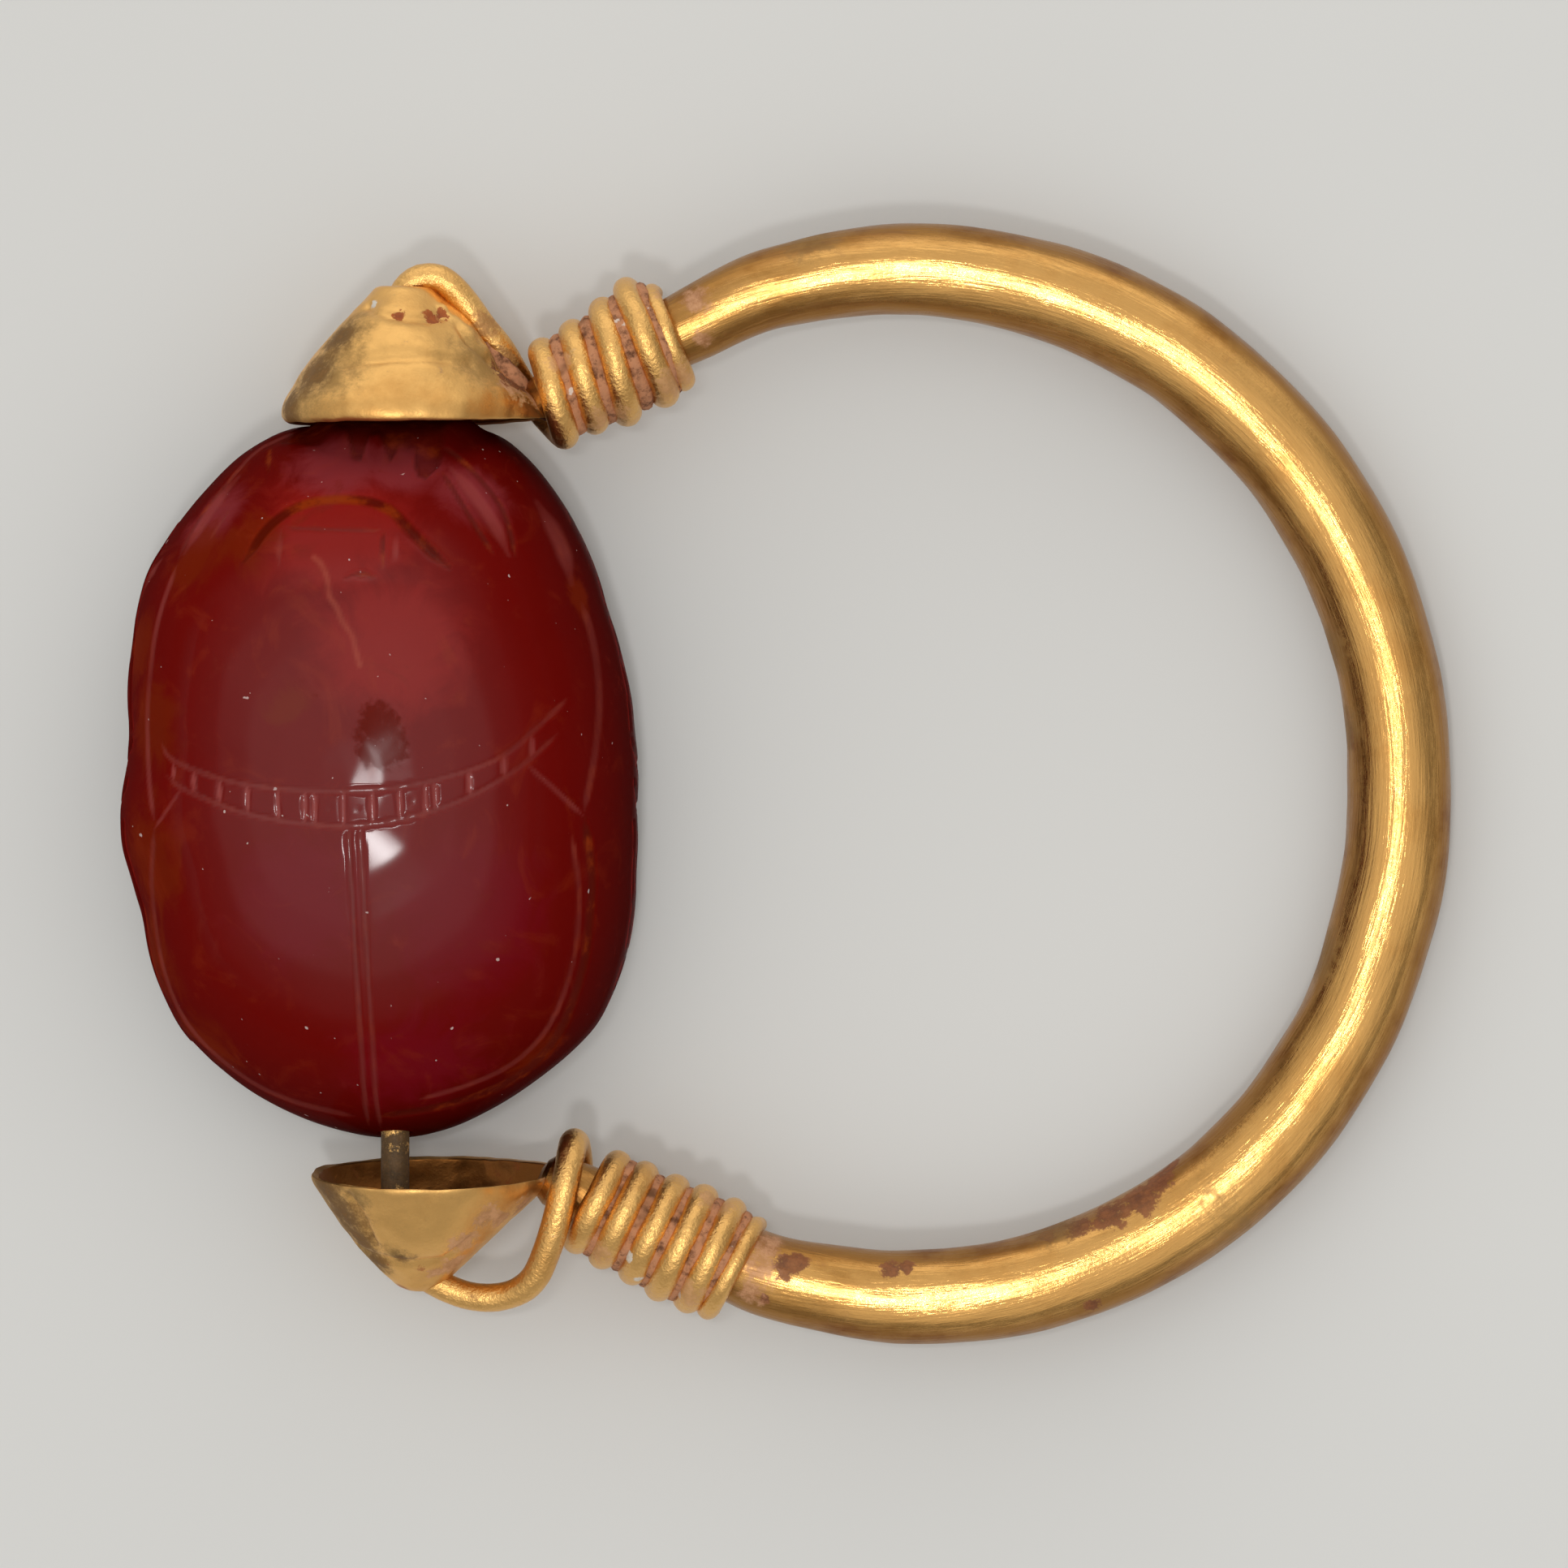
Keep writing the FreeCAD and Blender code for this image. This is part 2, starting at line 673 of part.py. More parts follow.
def write_parts(nodes):
    """Check the whole document and write each sub-part to a file of its own."""
    doc.recompute()
    for item in doc.Objects:
        if "Invalid" in item.State or "Error" in item.State:
            raise RuntimeError(f"{item.Name} failed: {item.State}")
    os.makedirs("parts", exist_ok=True)
    for node in nodes:
        if node.Shape.isNull() or not node.Shape.isValid() or not node.Shape.Solids:
            raise RuntimeError(f"{node.Label} has no valid solid")
        node.Shape.exportStep(f"parts/{node.Label}.step")
        print(f"{node.Label}: {len(node.Shape.Solids)} solid, {node.Shape.Volume:.3f} mm3")


write_parts([
    make_hoop(),
    make_cup("upper", 1, upper_route()),
    make_cup("lower", -1, lower_route()),
    make_wire(),
    make_scarab(),
])
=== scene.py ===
# %% [markdown]
# # A swivel ring with a carved beetle
#
# The ring has five pieces: a thick gold hoop, two cups of sheet gold, one gold wire, and a bead of
# red carnelian, carved as a beetle, that turns on the wire. They are rebuilt here around the ring's
# construction model. That model could be dressed as it is, but a finer mesh can also carry dents,
# hammer marks and engraving. Every gold piece is drawn flat, in the plane of the hoop with the axle
# along Y, as the picture shows it, and is then lowered about the axle to where the ring lies.

# %% Load the construction model
import math

import bpy
import numpy as np
from mathutils import Matrix, Vector, noise


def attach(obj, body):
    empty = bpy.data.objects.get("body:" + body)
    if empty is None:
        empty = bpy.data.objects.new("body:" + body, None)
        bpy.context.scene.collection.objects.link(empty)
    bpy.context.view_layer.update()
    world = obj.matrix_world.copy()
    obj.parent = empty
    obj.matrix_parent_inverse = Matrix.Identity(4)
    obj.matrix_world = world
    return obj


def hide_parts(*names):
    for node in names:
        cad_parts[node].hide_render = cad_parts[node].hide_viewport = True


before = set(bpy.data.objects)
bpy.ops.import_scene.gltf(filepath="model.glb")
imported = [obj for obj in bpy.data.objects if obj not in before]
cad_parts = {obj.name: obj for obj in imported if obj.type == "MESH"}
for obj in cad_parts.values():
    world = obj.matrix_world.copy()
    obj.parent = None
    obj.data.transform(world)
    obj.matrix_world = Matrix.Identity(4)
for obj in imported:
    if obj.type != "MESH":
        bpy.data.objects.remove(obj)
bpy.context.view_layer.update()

print("nodes:", sorted(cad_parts))

# %% [markdown]
# ## Sizes
#
# All lengths are in millimetres, as a goldsmith would note them, and MM makes metres of them.
# They repeat the sizes of the construction model, so that each piece lies where its solid lies.
# The hoop rests on the table with its far side, so its plane leans a little.

# %% Sizes of the ring
MM = 0.001
AXIS_HEIGHT = 2.5
WIRE = 0.55
HOOP_RADIUS = 9.9
HOOP_CENTRE = 9.78
HOOP_THICKNESS = 2.0
UPPER_RIM = 6.95
LOWER_RIM = -7.55
TURN_CLEARANCE = 0.03
FAR_SHARE, FAR_THICKNESS = 0.974, 0.995  # of the hoop's radius and thickness, at its far side

drop = AXIS_HEIGHT - HOOP_THICKNESS * FAR_THICKNESS / 2
LEAN = math.asin(drop / (HOOP_CENTRE + HOOP_RADIUS * FAR_SHARE))
RING_PLANE = Matrix.Translation((0, 0, AXIS_HEIGHT * MM)) @ Matrix.Rotation(LEAN, 4, "Y")
print("the hoop's plane leans by %.2f degrees" % math.degrees(LEAN))


# %% [markdown]
# ## From the picture to the ring's plane
#
# The outlines in this lesson were measured in the picture, in its pixels. One scale makes them
# millimetres, counted from the axle and from the middle of the bead. The tables keep the pixels,
# because they are then easy to compare with the picture.

# %% A picture point in millimetres
PIXEL = 0.0157
AXLE_PIXEL, MIDDLE_PIXEL = 487, 965


def picture_point(px, py):
    """A place in the picture as a point of the ring's plane, in millimetres."""
    return Vector(((px - AXLE_PIXEL) * PIXEL, (MIDDLE_PIXEL - py) * PIXEL, 0))


print("one pixel is %.4f mm" % PIXEL)


# %% [markdown]
# ## Small helpers
#
# An operator works on whatever is selected, so each step starts by selecting nothing, or one piece.
# By hand, vertices are moved with proportional editing; here they are read as rows of an array and
# moved all together, each by its own amount.

# %% Select a piece, and read and move its points
def select_nothing():
    """Let go of everything, so that an operator changes only what is added next."""
    bpy.ops.object.select_all(action="DESELECT")


def select_only(piece):
    """Make one piece the selected and active one."""
    select_nothing()
    piece.select_set(True)
    bpy.context.view_layer.objects.active = piece


def rows_of(piece, what):
    """What the vertices of a piece hold, as an array with one row each."""
    rows = np.zeros(len(piece.data.vertices) * 3)
    piece.data.vertices.foreach_get(what, rows)
    return rows.reshape(-1, 3)


def points_of(piece):
    """The places of a piece's vertices."""
    return rows_of(piece, "co")


def normals_of(piece):
    """The directions in which a piece's vertices face."""
    return rows_of(piece, "normal")


def move_points(piece, rows):
    """Give the vertices of a piece their new places."""
    piece.data.vertices.foreach_set("co", rows.ravel())
    piece.data.update()


def carry(piece, name, values):
    """Let the mesh carry a value at each point, for its material to read."""
    layer = piece.data.attributes.new(name, "FLOAT", "POINT")
    layer.data.foreach_set("value", values)


# %% [markdown]
# ### Soft steps and soft noise
#
# Nothing on an old ring starts or stops suddenly. A soft step fades a dent or a ridge in and out.
# Soft noise gives lumps and hammer marks. A Displace modifier with a texture could do that too, but
# noise that is read at a vertex can be stretched, faded and added up before anything is moved. It
# is the same on each run, because each use has its own fixed number.

# %% Soft steps and soft noise
def smooth_step(low, high, value):
    """0 below low, 1 above high, and an even slope between, for arrays too."""
    share = np.clip((value - low) / (high - low), 0, 1)
    return share * share * (3 - 2 * share)


def bell(value, width):
    """1 at zero, fading on both sides over a width."""
    return np.exp(-(value / width) ** 2)


def wobble(rows, scale, seed):
    """Soft noise at each row of points, between about -1 and 1."""
    shift = Vector((seed * 7.1, seed * 3.3, seed * 5.7))
    return np.array([noise.noise(Vector(row) * scale + shift) for row in rows])


def roughen(piece, waves, seed, share=1.0):
    """Push points along their normals by soft noise; each wave has a scale and a height."""
    rows = points_of(piece)
    push = sum(wobble(rows, scale, seed + number) * height
               for number, (scale, height) in enumerate(waves))
    move_points(piece, rows + normals_of(piece) * (push * share * MM)[:, None])


# %% [markdown]
# ### The last step of every piece
#
# A finished piece has its place in its mesh and its object at the origin, so that patterns in its
# material stay where they are. It rides on a body of the model, and stands for the solid that it
# replaces.

# %% Finish a piece
def settle(piece, body, slot, *nodes, lowered=True):
    """Lower a piece into the ring's plane, smooth its shading and hang it on its body."""
    if lowered:
        piece.data.transform(RING_PLANE)
    select_only(piece)
    bpy.ops.object.shade_smooth()
    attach(piece, body)
    if nodes:
        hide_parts(*nodes)
    piece.data.calc_loop_triangles()
    print("%s: %d triangles" % (piece.name, len(piece.data.loop_triangles)))


# %% [markdown]
# ## The camera
#
# The ring was photographed from straight above the plane of its hoop, with a long lens, which
# keeps the circle of the hoop round. A camera could be aimed at the ring by its angles, but it is
# simpler to give it the hoop's plane as its own and to move it back along its own axis.

# %% Camera over the hoop's plane
VIEW_WIDTH = 30.33
VIEW_MIDDLE = Vector((7.52, -0.02, 0))
SENSOR, LENS = 36, 300
NEAREST, FARTHEST = 0.01, 10

select_nothing()
bpy.ops.object.camera_add()
camera = bpy.context.object
camera.name = "camera"
camera.data.sensor_width = SENSOR
camera.data.lens = LENS
distance = VIEW_WIDTH * LENS / SENSOR
camera.matrix_world = RING_PLANE @ Matrix.Translation((VIEW_MIDDLE + Vector((0, 0, distance))) * MM)
camera.data.clip_start, camera.data.clip_end = NEAREST, FARTHEST
bpy.context.scene.camera = camera
print("the camera is %.0f mm away" % distance)


# %% [markdown]
# ## Drawing a rod or a wire
#
# The smith hammered the hoop out of a bar and drew the wire. In Blender both are a Bezier curve
# with a round bevel: each control point has a place, a heading and a radius. A handle of the right
# length makes the curve follow an arc between two headings. Converted to a mesh, it can be
# hammered vertex by vertex. A ring from the Add menu would be quicker, but it has one radius and
# one thickness all round.

# %% A rod along a curve
STRAIGHT = 0.02
WELD = 1e-7


def arc_handle(out, into, chord):
    """How long a handle is with which a Bezier curve follows the arc between two headings."""
    turn = out.angle(into)
    if turn <= STRAIGHT:
        return chord / 3
    return chord / (2 * math.sin(turn / 2)) * math.tan(turn / 4) * 4 / 3


def drawn_rod(name, stations, sides, steps):
    """A round rod through stations of a place, a heading and a radius in millimetres."""
    select_nothing()
    bpy.ops.curve.primitive_bezier_curve_add(location=(0, 0, 0))
    rod = bpy.context.object
    rod.name = name
    line = rod.data
    knots = line.splines[0].bezier_points
    knots.add(len(stations) - 2)
    held = [(place * MM, heading.normalized(), radius) for place, heading, radius in stations]
    for knot, (place, heading, radius) in zip(knots, held):
        knot.handle_left_type = knot.handle_right_type = "FREE"
        knot.co = knot.handle_left = knot.handle_right = place
        knot.radius = radius
    for number in range(len(held) - 1):
        (start, out, _), (end, into, _) = held[number], held[number + 1]
        reach = arc_handle(out, into, (end - start).length)
        knots[number].handle_right = start + out * reach
        knots[number + 1].handle_left = end - into * reach
    line.dimensions = "3D"
    line.twist_mode = "MINIMUM"
    line.bevel_depth = MM
    line.bevel_resolution = sides
    line.resolution_u = steps
    line.use_fill_caps = True
    bpy.ops.object.convert(target="MESH")
    bpy.ops.object.mode_set(mode="EDIT")
    bpy.ops.mesh.select_all(action="SELECT")
    bpy.ops.mesh.remove_doubles(threshold=WELD)
    bpy.ops.mesh.normals_make_consistent(inside=False)
    bpy.ops.object.mode_set(mode="OBJECT")
    return bpy.context.object


# %% [markdown]
# ## The hoop
#
# A solid gold rod, two millimetres thick at the far side and thinner towards the beetle, where it
# ends in two straight tapering ends. It was hammered round by eye, so neither its circle nor its
# thickness is even. The table gives, at each angle, a share of the radius and of the thickness.

# %% The hoop's table
HOOP_TABLE = [
    (114, 0.984, 0.72), (104, 0.998, 0.78), (90, 1.004, 0.885), (75, 1.002, 0.945),
    (60, 0.999, 0.985), (45, 0.991, 0.995), (30, 0.984, 0.995), (15, 0.977, 0.99),
    (0, 0.974, 0.995), (-15, 0.980, 1.0), (-30, 0.993, 0.98), (-45, 1.004, 0.985),
    (-60, 1.010, 0.96), (-75, 1.0105, 0.95), (-90, 1.004, 0.905), (-100, 0.997, 0.84),
    (-107, 0.993, 0.80),
]

FRONT = Vector((0, 0, 1))


def on_circle(angle, radius_share):
    """A point of the hoop's middle line."""
    turn = math.radians(angle)
    reach = HOOP_RADIUS * radius_share
    return Vector((HOOP_CENTRE + reach * math.cos(turn), reach * math.sin(turn), 0))


print("the hoop has %d sections" % len(HOOP_TABLE))


# %% [markdown]
# ### The two thin ends
#
# Each end runs straight on from the rod and tapers to a rounded tip. The cup's tongue and the wire
# go round it, so an end is kept as an object of its own that can say where a turn of the wire lies.

# %% A straight end of the hoop
class HoopEnd:
    """A straight thin end of the hoop, from its tip to its root on the rod."""

    def __init__(self, station, side, slope, length, tip_diameter):
        angle, radius_share, thickness_share = station
        self.root = on_circle(angle, radius_share)
        self.root_radius = HOOP_THICKNESS * thickness_share / 2
        self.tip_radius = tip_diameter / 2
        self.length = length
        lean = math.radians(slope)
        self.along = Vector((math.cos(lean), side * math.sin(lean), 0))
        self.up = Vector((-side * math.sin(lean), math.cos(lean), 0))
        self.tip = self.root - self.along * length

    def core(self, distance):
        """The radius of the end at a distance from its tip."""
        share = distance / self.length
        return self.tip_radius + (self.root_radius - self.tip_radius) * share

    def around(self, distance, quarter, advance, thickness):
        """A station of a turn: quarter 0 below, 1 in front, 2 above, 3 behind."""
        turn = math.pi / 2 * quarter
        outward = FRONT * math.sin(turn) - self.up * math.cos(turn)
        heading = FRONT * math.cos(turn) + self.up * math.sin(turn)
        radius = self.core(distance) + TURN_CLEARANCE + thickness / 2
        place = self.tip + self.along * distance + outward * radius
        return place, heading + self.along * advance, thickness / 2


upper_end = HoopEnd(HOOP_TABLE[0], side=1, slope=26.5, length=3.6, tip_diameter=0.9)
lower_end = HoopEnd(HOOP_TABLE[-1], side=-1, slope=24.2, length=4.5, tip_diameter=1.0)
print("tips at", upper_end.tip[:2], lower_end.tip[:2])

# %% [markdown]
# ### The rod
#
# One curve runs from tip to tip, so that no seam shows where an end meets the rod. A rounded tip is
# four sections close together, which grow like the edge of a ball.

# %% The rod of the hoop
TIP_ROUNDING = [(0.0, 0.25), (0.05, 0.62), (0.14, 0.86), (0.28, 1.0)]


def end_stations(end, heading):
    """From the rounded tip of an end to the middle of its length."""
    stations = [
        (end.tip + end.along * run, heading, end.core(run) * share) for run, share in TIP_ROUNDING
    ]
    middle = end.length / 2
    return stations + [(end.tip + end.along * middle, heading, end.core(middle))]


def rod_station(angle, radius_share, thickness_share):
    """A section of the rod, which heads clockwise round the hoop."""
    turn = math.radians(angle)
    heading = Vector((math.sin(turn), -math.cos(turn), 0))
    return on_circle(angle, radius_share), heading, HOOP_THICKNESS * thickness_share / 2


rod = [rod_station(*row) for row in HOOP_TABLE]
rod[0] = (rod[0][0], upper_end.along, rod[0][2])
rod[-1] = (rod[-1][0], -lower_end.along, rod[-1][2])
hoop_stations = end_stations(upper_end, upper_end.along) + rod
hoop_stations += end_stations(lower_end, -lower_end.along)[::-1]
hoop = drawn_rod("hammered_hoop", hoop_stations, sides=30, steps=24)
print("the rod runs through %d stations" % len(hoop_stations))

# %% [markdown]
# ### Hammer marks
#
# A rod that was hammered round keeps long shallow facets and a faint ridge where two rows of blows
# meet. Sculpting could give them, but only by hand. Here the vertices are pushed along their
# normals: by soft noise stretched along the rod, and by the ridge on the side that faces the
# viewer. The noise is read on the rod unrolled, so that it also stretches round the bend.

# %% Unroll the rod
BLOW_LENGTH = 14
BLOW_WIDTH = 1.6

hoop_points, hoop_normals = points_of(hoop), normals_of(hoop)
from_centre = hoop_points[:, 0] - HOOP_CENTRE * MM
around_hoop = np.degrees(np.arctan2(hoop_points[:, 1], from_centre))
beside = np.hypot(from_centre, hoop_points[:, 1])
section_turn = np.arctan2(hoop_points[:, 2], beside - HOOP_RADIUS * MM)
unrolled = np.stack([around_hoop / BLOW_LENGTH, np.cos(section_turn) * BLOW_WIDTH,
                     np.sin(section_turn) * BLOW_WIDTH], 1)
print("angles from %.0f to %.0f degrees" % (around_hoop.min(), around_hoop.max()))

# %% Hammer the hoop
FACET_DEPTH, PIT_DEPTH = 0.030, 0.012
PIT_SQUEEZE = (3.0, 1.6, 1.6)
RIDGE_HEIGHT, RIDGE_WIDTH = 0.02, 0.10
ROD_FROM, ROD_TO = 5.2 * MM, 6.5 * MM

blows = wobble(unrolled, 1.0, 1) * FACET_DEPTH
blows += wobble(unrolled * PIT_SQUEEZE, 1.0, 2) * PIT_DEPTH
ridge_turn = 1.25 + 0.35 * np.sin(np.radians(around_hoop * 1.3))
ridge = bell(section_turn - ridge_turn, RIDGE_WIDTH)
ridge *= smooth_step(-120, -80, around_hoop) * (1 - smooth_step(-35, 10, around_hoop))
push = (blows + ridge * RIDGE_HEIGHT) * smooth_step(ROD_FROM, ROD_TO, hoop_points[:, 0])
move_points(hoop, hoop_points + hoop_normals * (push * MM)[:, None])
settle(hoop, "ring", "hoop_gold", "hoop")

# %% [markdown]
# ## The wire
#
# One wire, about half a millimetre thick, is axle, fastening and binding at once. From the upper
# winding it loops over the cup, runs down through the beetle, leaves through the lower cup, loops
# back and is wound round the other end of the hoop. A helix could stand for the windings, but the
# smith's turns lean and crowd. So each strand was measured in the picture, below and above the rod
# in turn. The wire's ends were hammered thin and pressed against the rod.

# %% Outlines of the strands
UPPER_STRANDS = [
    (696, 554), (669, 416), (733, 536), (706, 393), (773, 526), (743, 366), (819, 503), (772, 342),
    (843, 482), (803, 350),
]
LOWER_STRANDS = [
    (711, 1546), (761, 1417), (742, 1565), (794, 1430), (779, 1584), (832, 1446), (812, 1604),
    (867, 1459), (847, 1619), (904, 1476), (872, 1626), (932, 1499),
]
END_THICKNESS = 0.34
THINNED_STRANDS = 3


def strand_centres(outline):
    """The wire's middle below and above the rod, in turn, from the outline of its strands."""
    centres = []
    for number, (px, py) in enumerate(outline):
        left = len(outline) - 1 - number
        thickness = WIRE
        if left < THINNED_STRANDS:
            thickness = END_THICKNESS + (WIRE - END_THICKNESS) * left / THINNED_STRANDS
        inward = thickness / 2 if number % 2 == 0 else -thickness / 2
        centres.append((picture_point(px, py) + Vector((0, inward, 0)), thickness / 2))
    return centres


upper_centres, lower_centres = strand_centres(UPPER_STRANDS), strand_centres(LOWER_STRANDS)
print("%d and %d strands" % (len(upper_centres), len(lower_centres)))


# %% [markdown]
# ### Turns, loops and tails
#
# From one strand to the next the wire passes in front of the rod or behind it. A station halfway,
# as far out as half the way between the two strands, makes a round turn of that. A loop's stations
# are shares of the way from the axle to the end of the hoop. A tail rounds the wire off.

# %% Turns, loops and tails
def turns(centres, lean):
    """Stations through the centres: up in front of the rod and down behind it."""
    stations = []
    for number, (place, radius) in enumerate(centres):
        side = FRONT if number % 2 == 0 else -FRONT
        stations.append((place, side + Vector((lean, 0, 0)), radius))
        if number + 1 < len(centres):
            onward, next_radius = centres[number + 1]
            half = (onward - place) / 2
            stations.append((place + half + side * half.length, half, (radius + next_radius) / 2))
    return stations


def loop(end, height, table):
    """Stations between a cup's tip and its winding: shares of the way, and headings."""
    stations = []
    for (across, towards, depth), heading in table:
        level = height + (end.tip.y - height) * towards
        place = Vector((end.tip.x * across, level, WIRE * depth))
        stations.append((place, Vector(heading), WIRE / 2))
    return stations


def tail(stations, run):
    """The last station again, a little further on and rounded off."""
    place, heading, radius = stations[-1]
    step = heading.normalized() * run
    return [(place + step * way, heading, radius * share)
            for way, share in ((0.7, 0.9), (0.93, 0.6), (1, 0.2))]


# %% [markdown]
# ### The two halves of the wire
#
# Each half starts inside its cup and heads outwards. It bends into the loop that the picture shows,
# comes round behind the rod, and goes on into its winding.

# %% Stations of the upper half of the wire
UPPER_HEIGHT, LOWER_HEIGHT = 2.65, 2.3
UPPER_START, UPPER_PITCH = 0.28, 0.64
TURN_LEAN = 0.12
TAIL_LENGTH = 0.7

upper = [(Vector((0, UPPER_RIM + UPPER_HEIGHT * 0.67, 0)), Vector((0, 1, 0)), WIRE / 2)]
upper += loop(upper_end, UPPER_RIM + UPPER_HEIGHT + 0.18, [
    ((0.24, 0.0, 0.0), (1.0, 0.05, 0.0)),
    ((0.4, 0.06, 0.0), (0.75, -0.66, -0.05)),
    ((0.719, 0.47, -0.25), (0.66, -0.76, -0.26)),
])
upper.append(upper_end.around(UPPER_START - UPPER_PITCH / 4, 3, 0.25, WIRE))
upper += turns(upper_centres, TURN_LEAN)
upper += tail(upper, TAIL_LENGTH)
print("upper half: %d stations" % len(upper))

# %% Stations of the lower half of the wire
LOWER_START, LOWER_TURN = 0.36, 1.27

lower = [(Vector((0, LOWER_RIM - LOWER_HEIGHT * 0.4, 0)), Vector((0, -1, 0)), WIRE / 2)]
lower += loop(lower_end, LOWER_RIM - LOWER_HEIGHT - 0.11, [
    ((0.31, 0.10, -0.45), (0.88, -0.45, -0.10)),
    ((0.66, 0.0, -0.22), (1.0, 0.05, 0.2)),
    ((1.0, 0.24, 0.75), (0.38, 0.82, 0.42)),
])
lower.append(lower_end.around(0.54, 1, -0.2, WIRE))
lower.append(lower_end.around(LOWER_START, 2, 0.1, WIRE))
lower.append(lower_end.around((LOWER_START + LOWER_TURN) / 2, 3, 0.5, WIRE))
lower += turns(lower_centres, TURN_LEAN)
lower += tail(lower, TAIL_LENGTH)
print("lower half: %d stations" % len(lower))

# %% [markdown]
# ### One wire
#
# The upper half is walked backwards and joined to the lower half, so that a single curve runs
# through the bead. Drawn wire isn't perfectly even, and soft noise gives it faint lumps, but hardly
# any in the bore, where it was rubbed smooth.

# %% The wire in one piece
BORE_LENGTH, BORE_SIDE = 7.4 * MM, 0.6 * MM
RUBBED = 0.2

turned = [(place, -heading, radius) for place, heading, radius in reversed(upper)]
wire = drawn_rod("swivel_wire_drawn", turned + lower, sides=10, steps=10)
wire_points = points_of(wire)
in_bore = (np.abs(wire_points[:, 1]) < BORE_LENGTH) & (wire_points[:, 0] < BORE_SIDE)
roughen(wire, [(1100, 0.016), (3200, 0.007)], 3, np.where(in_bore, RUBBED, 1.0))
settle(wire, "ring", "wire_gold", "swivel_wire")


# %% [markdown]
# ## Soil between the turns
#
# The ring lay in the ground, and the grooves between its turns are still packed with pinkish brown
# soil. Painting it on the gold would leave the grooves empty. So it is a rope of its own, of uneven
# thickness, that follows each groove halfway between two strands.

# %% Soil in the grooves of both windings
SOIL_RADIUS, SOIL_DEPTH = 0.185, 0.05
SOIL_LEAN = 0.1


def packed_soil(name, centres, end, seed):
    """A lumpy rope of soil in the groove between the turns round an end of the hoop."""
    grooves = []
    for (here, _), (there, _) in zip(centres, centres[2:]):
        place = (here + there) / 2
        on_core = end.tip + end.along * (place - end.tip).dot(end.along)
        outward = (place - on_core).normalized()
        grooves.append((place - outward * SOIL_DEPTH, SOIL_RADIUS))
    soil = drawn_rod(name, turns(grooves, SOIL_LEAN), sides=6, steps=12)
    roughen(soil, [(1500, 0.07), (5200, 0.05)], seed)
    settle(soil, "ring", "wire_gold")
    return soil


upper_soil = packed_soil("upper_soil", upper_centres, upper_end, 5)
lower_soil = packed_soil("lower_soil", lower_centres, lower_end, 7)

# %% [markdown]
# ### Soil under the loop
#
# A crust of the same soil also fills the angle between the upper cup and the loop of the wire. It
# is a short rope once more, whose thickness follows the crust in the picture.

# %% Soil between the upper cup and its loop
LOOP_SOIL = [
    (556, 372, 0.05), (574, 392, 0.10), (592, 416, 0.13), (608, 438, 0.15), (624, 460, 0.2),
    (640, 476, 0.2), (654, 488, 0.12),
]
BEHIND_PLANE = Vector((0, 0, -0.05))

crust = [picture_point(px, py) + BEHIND_PLANE for px, py, _ in LOOP_SOIL]
before, after = crust[:1] + crust[:-1], crust[1:] + crust[-1:]
stations = [
    (place, (onward - back).normalized(), radius)
    for place, onward, back, (_, _, radius) in zip(crust, after, before, LOOP_SOIL)
]
loop_soil = drawn_rod("loop_soil", stations, sides=8, steps=8)
roughen(loop_soil, [(1800, 0.05), (5200, 0.04)], 31)
settle(loop_soil, "ring", "wire_gold")

# %% [markdown]
# ## The two cups
#
# Each cup is a cone of sheet gold with an open tip for the wire. Its mouth faces the beetle, and
# on the hoop's side the sheet is drawn out into a tongue that the winding binds to the hoop. A
# cone from the Add menu has straight walls, and the smith's cones bulge. So a circle is the mouth,
# and extruded and scaled level by level it becomes the cone. The vertices near the hoop are then
# pulled out and pinched into the tongue.

# %% A cone of sheet gold
def sheet_cone(name, rim, side, levels):
    """A cone around the axle, from its mouth: each level has a height, a radius and a shift."""
    height, radius, shift = levels[0]
    select_nothing()
    bpy.ops.mesh.primitive_circle_add(
        vertices=96, radius=radius * MM, fill_type="NOTHING",
        location=(shift * MM, (rim + side * height) * MM, 0), rotation=(math.pi / 2, 0, 0))
    cone = bpy.context.object
    cone.name = name
    bpy.ops.object.transform_apply(location=True, rotation=True, scale=True)
    bpy.ops.object.mode_set(mode="EDIT")
    bpy.ops.mesh.select_all(action="SELECT")
    for below, above in zip(levels, levels[1:]):
        move = Vector((above[2] - below[2], side * (above[0] - below[0]), 0)) * MM
        bpy.ops.mesh.extrude_region_move(TRANSFORM_OT_translate={"value": move})
        middle = (above[2] * MM, (rim + side * above[0]) * MM, 0)
        scale = above[1] / below[1]
        bpy.ops.transform.resize(value=(scale, 1, scale), center_override=middle)
    bpy.ops.object.mode_set(mode="OBJECT")
    print("%s: %d levels" % (name, len(levels)))
    return cone


# %% [markdown]
# ### The tongue
#
# The smith left a strip of sheet at the mouth and bent it along the hoop. Extruding a few faces
# would give it a hard root. So the vertices on the hoop's side are drawn towards its tip, the
# nearest to the hoop the most, and are then pinched together.

# %% The tongue
MOUTH_BAND = 0.1
PINCH_FROM = 1.2
TIP_FOLLOWS = 0.8


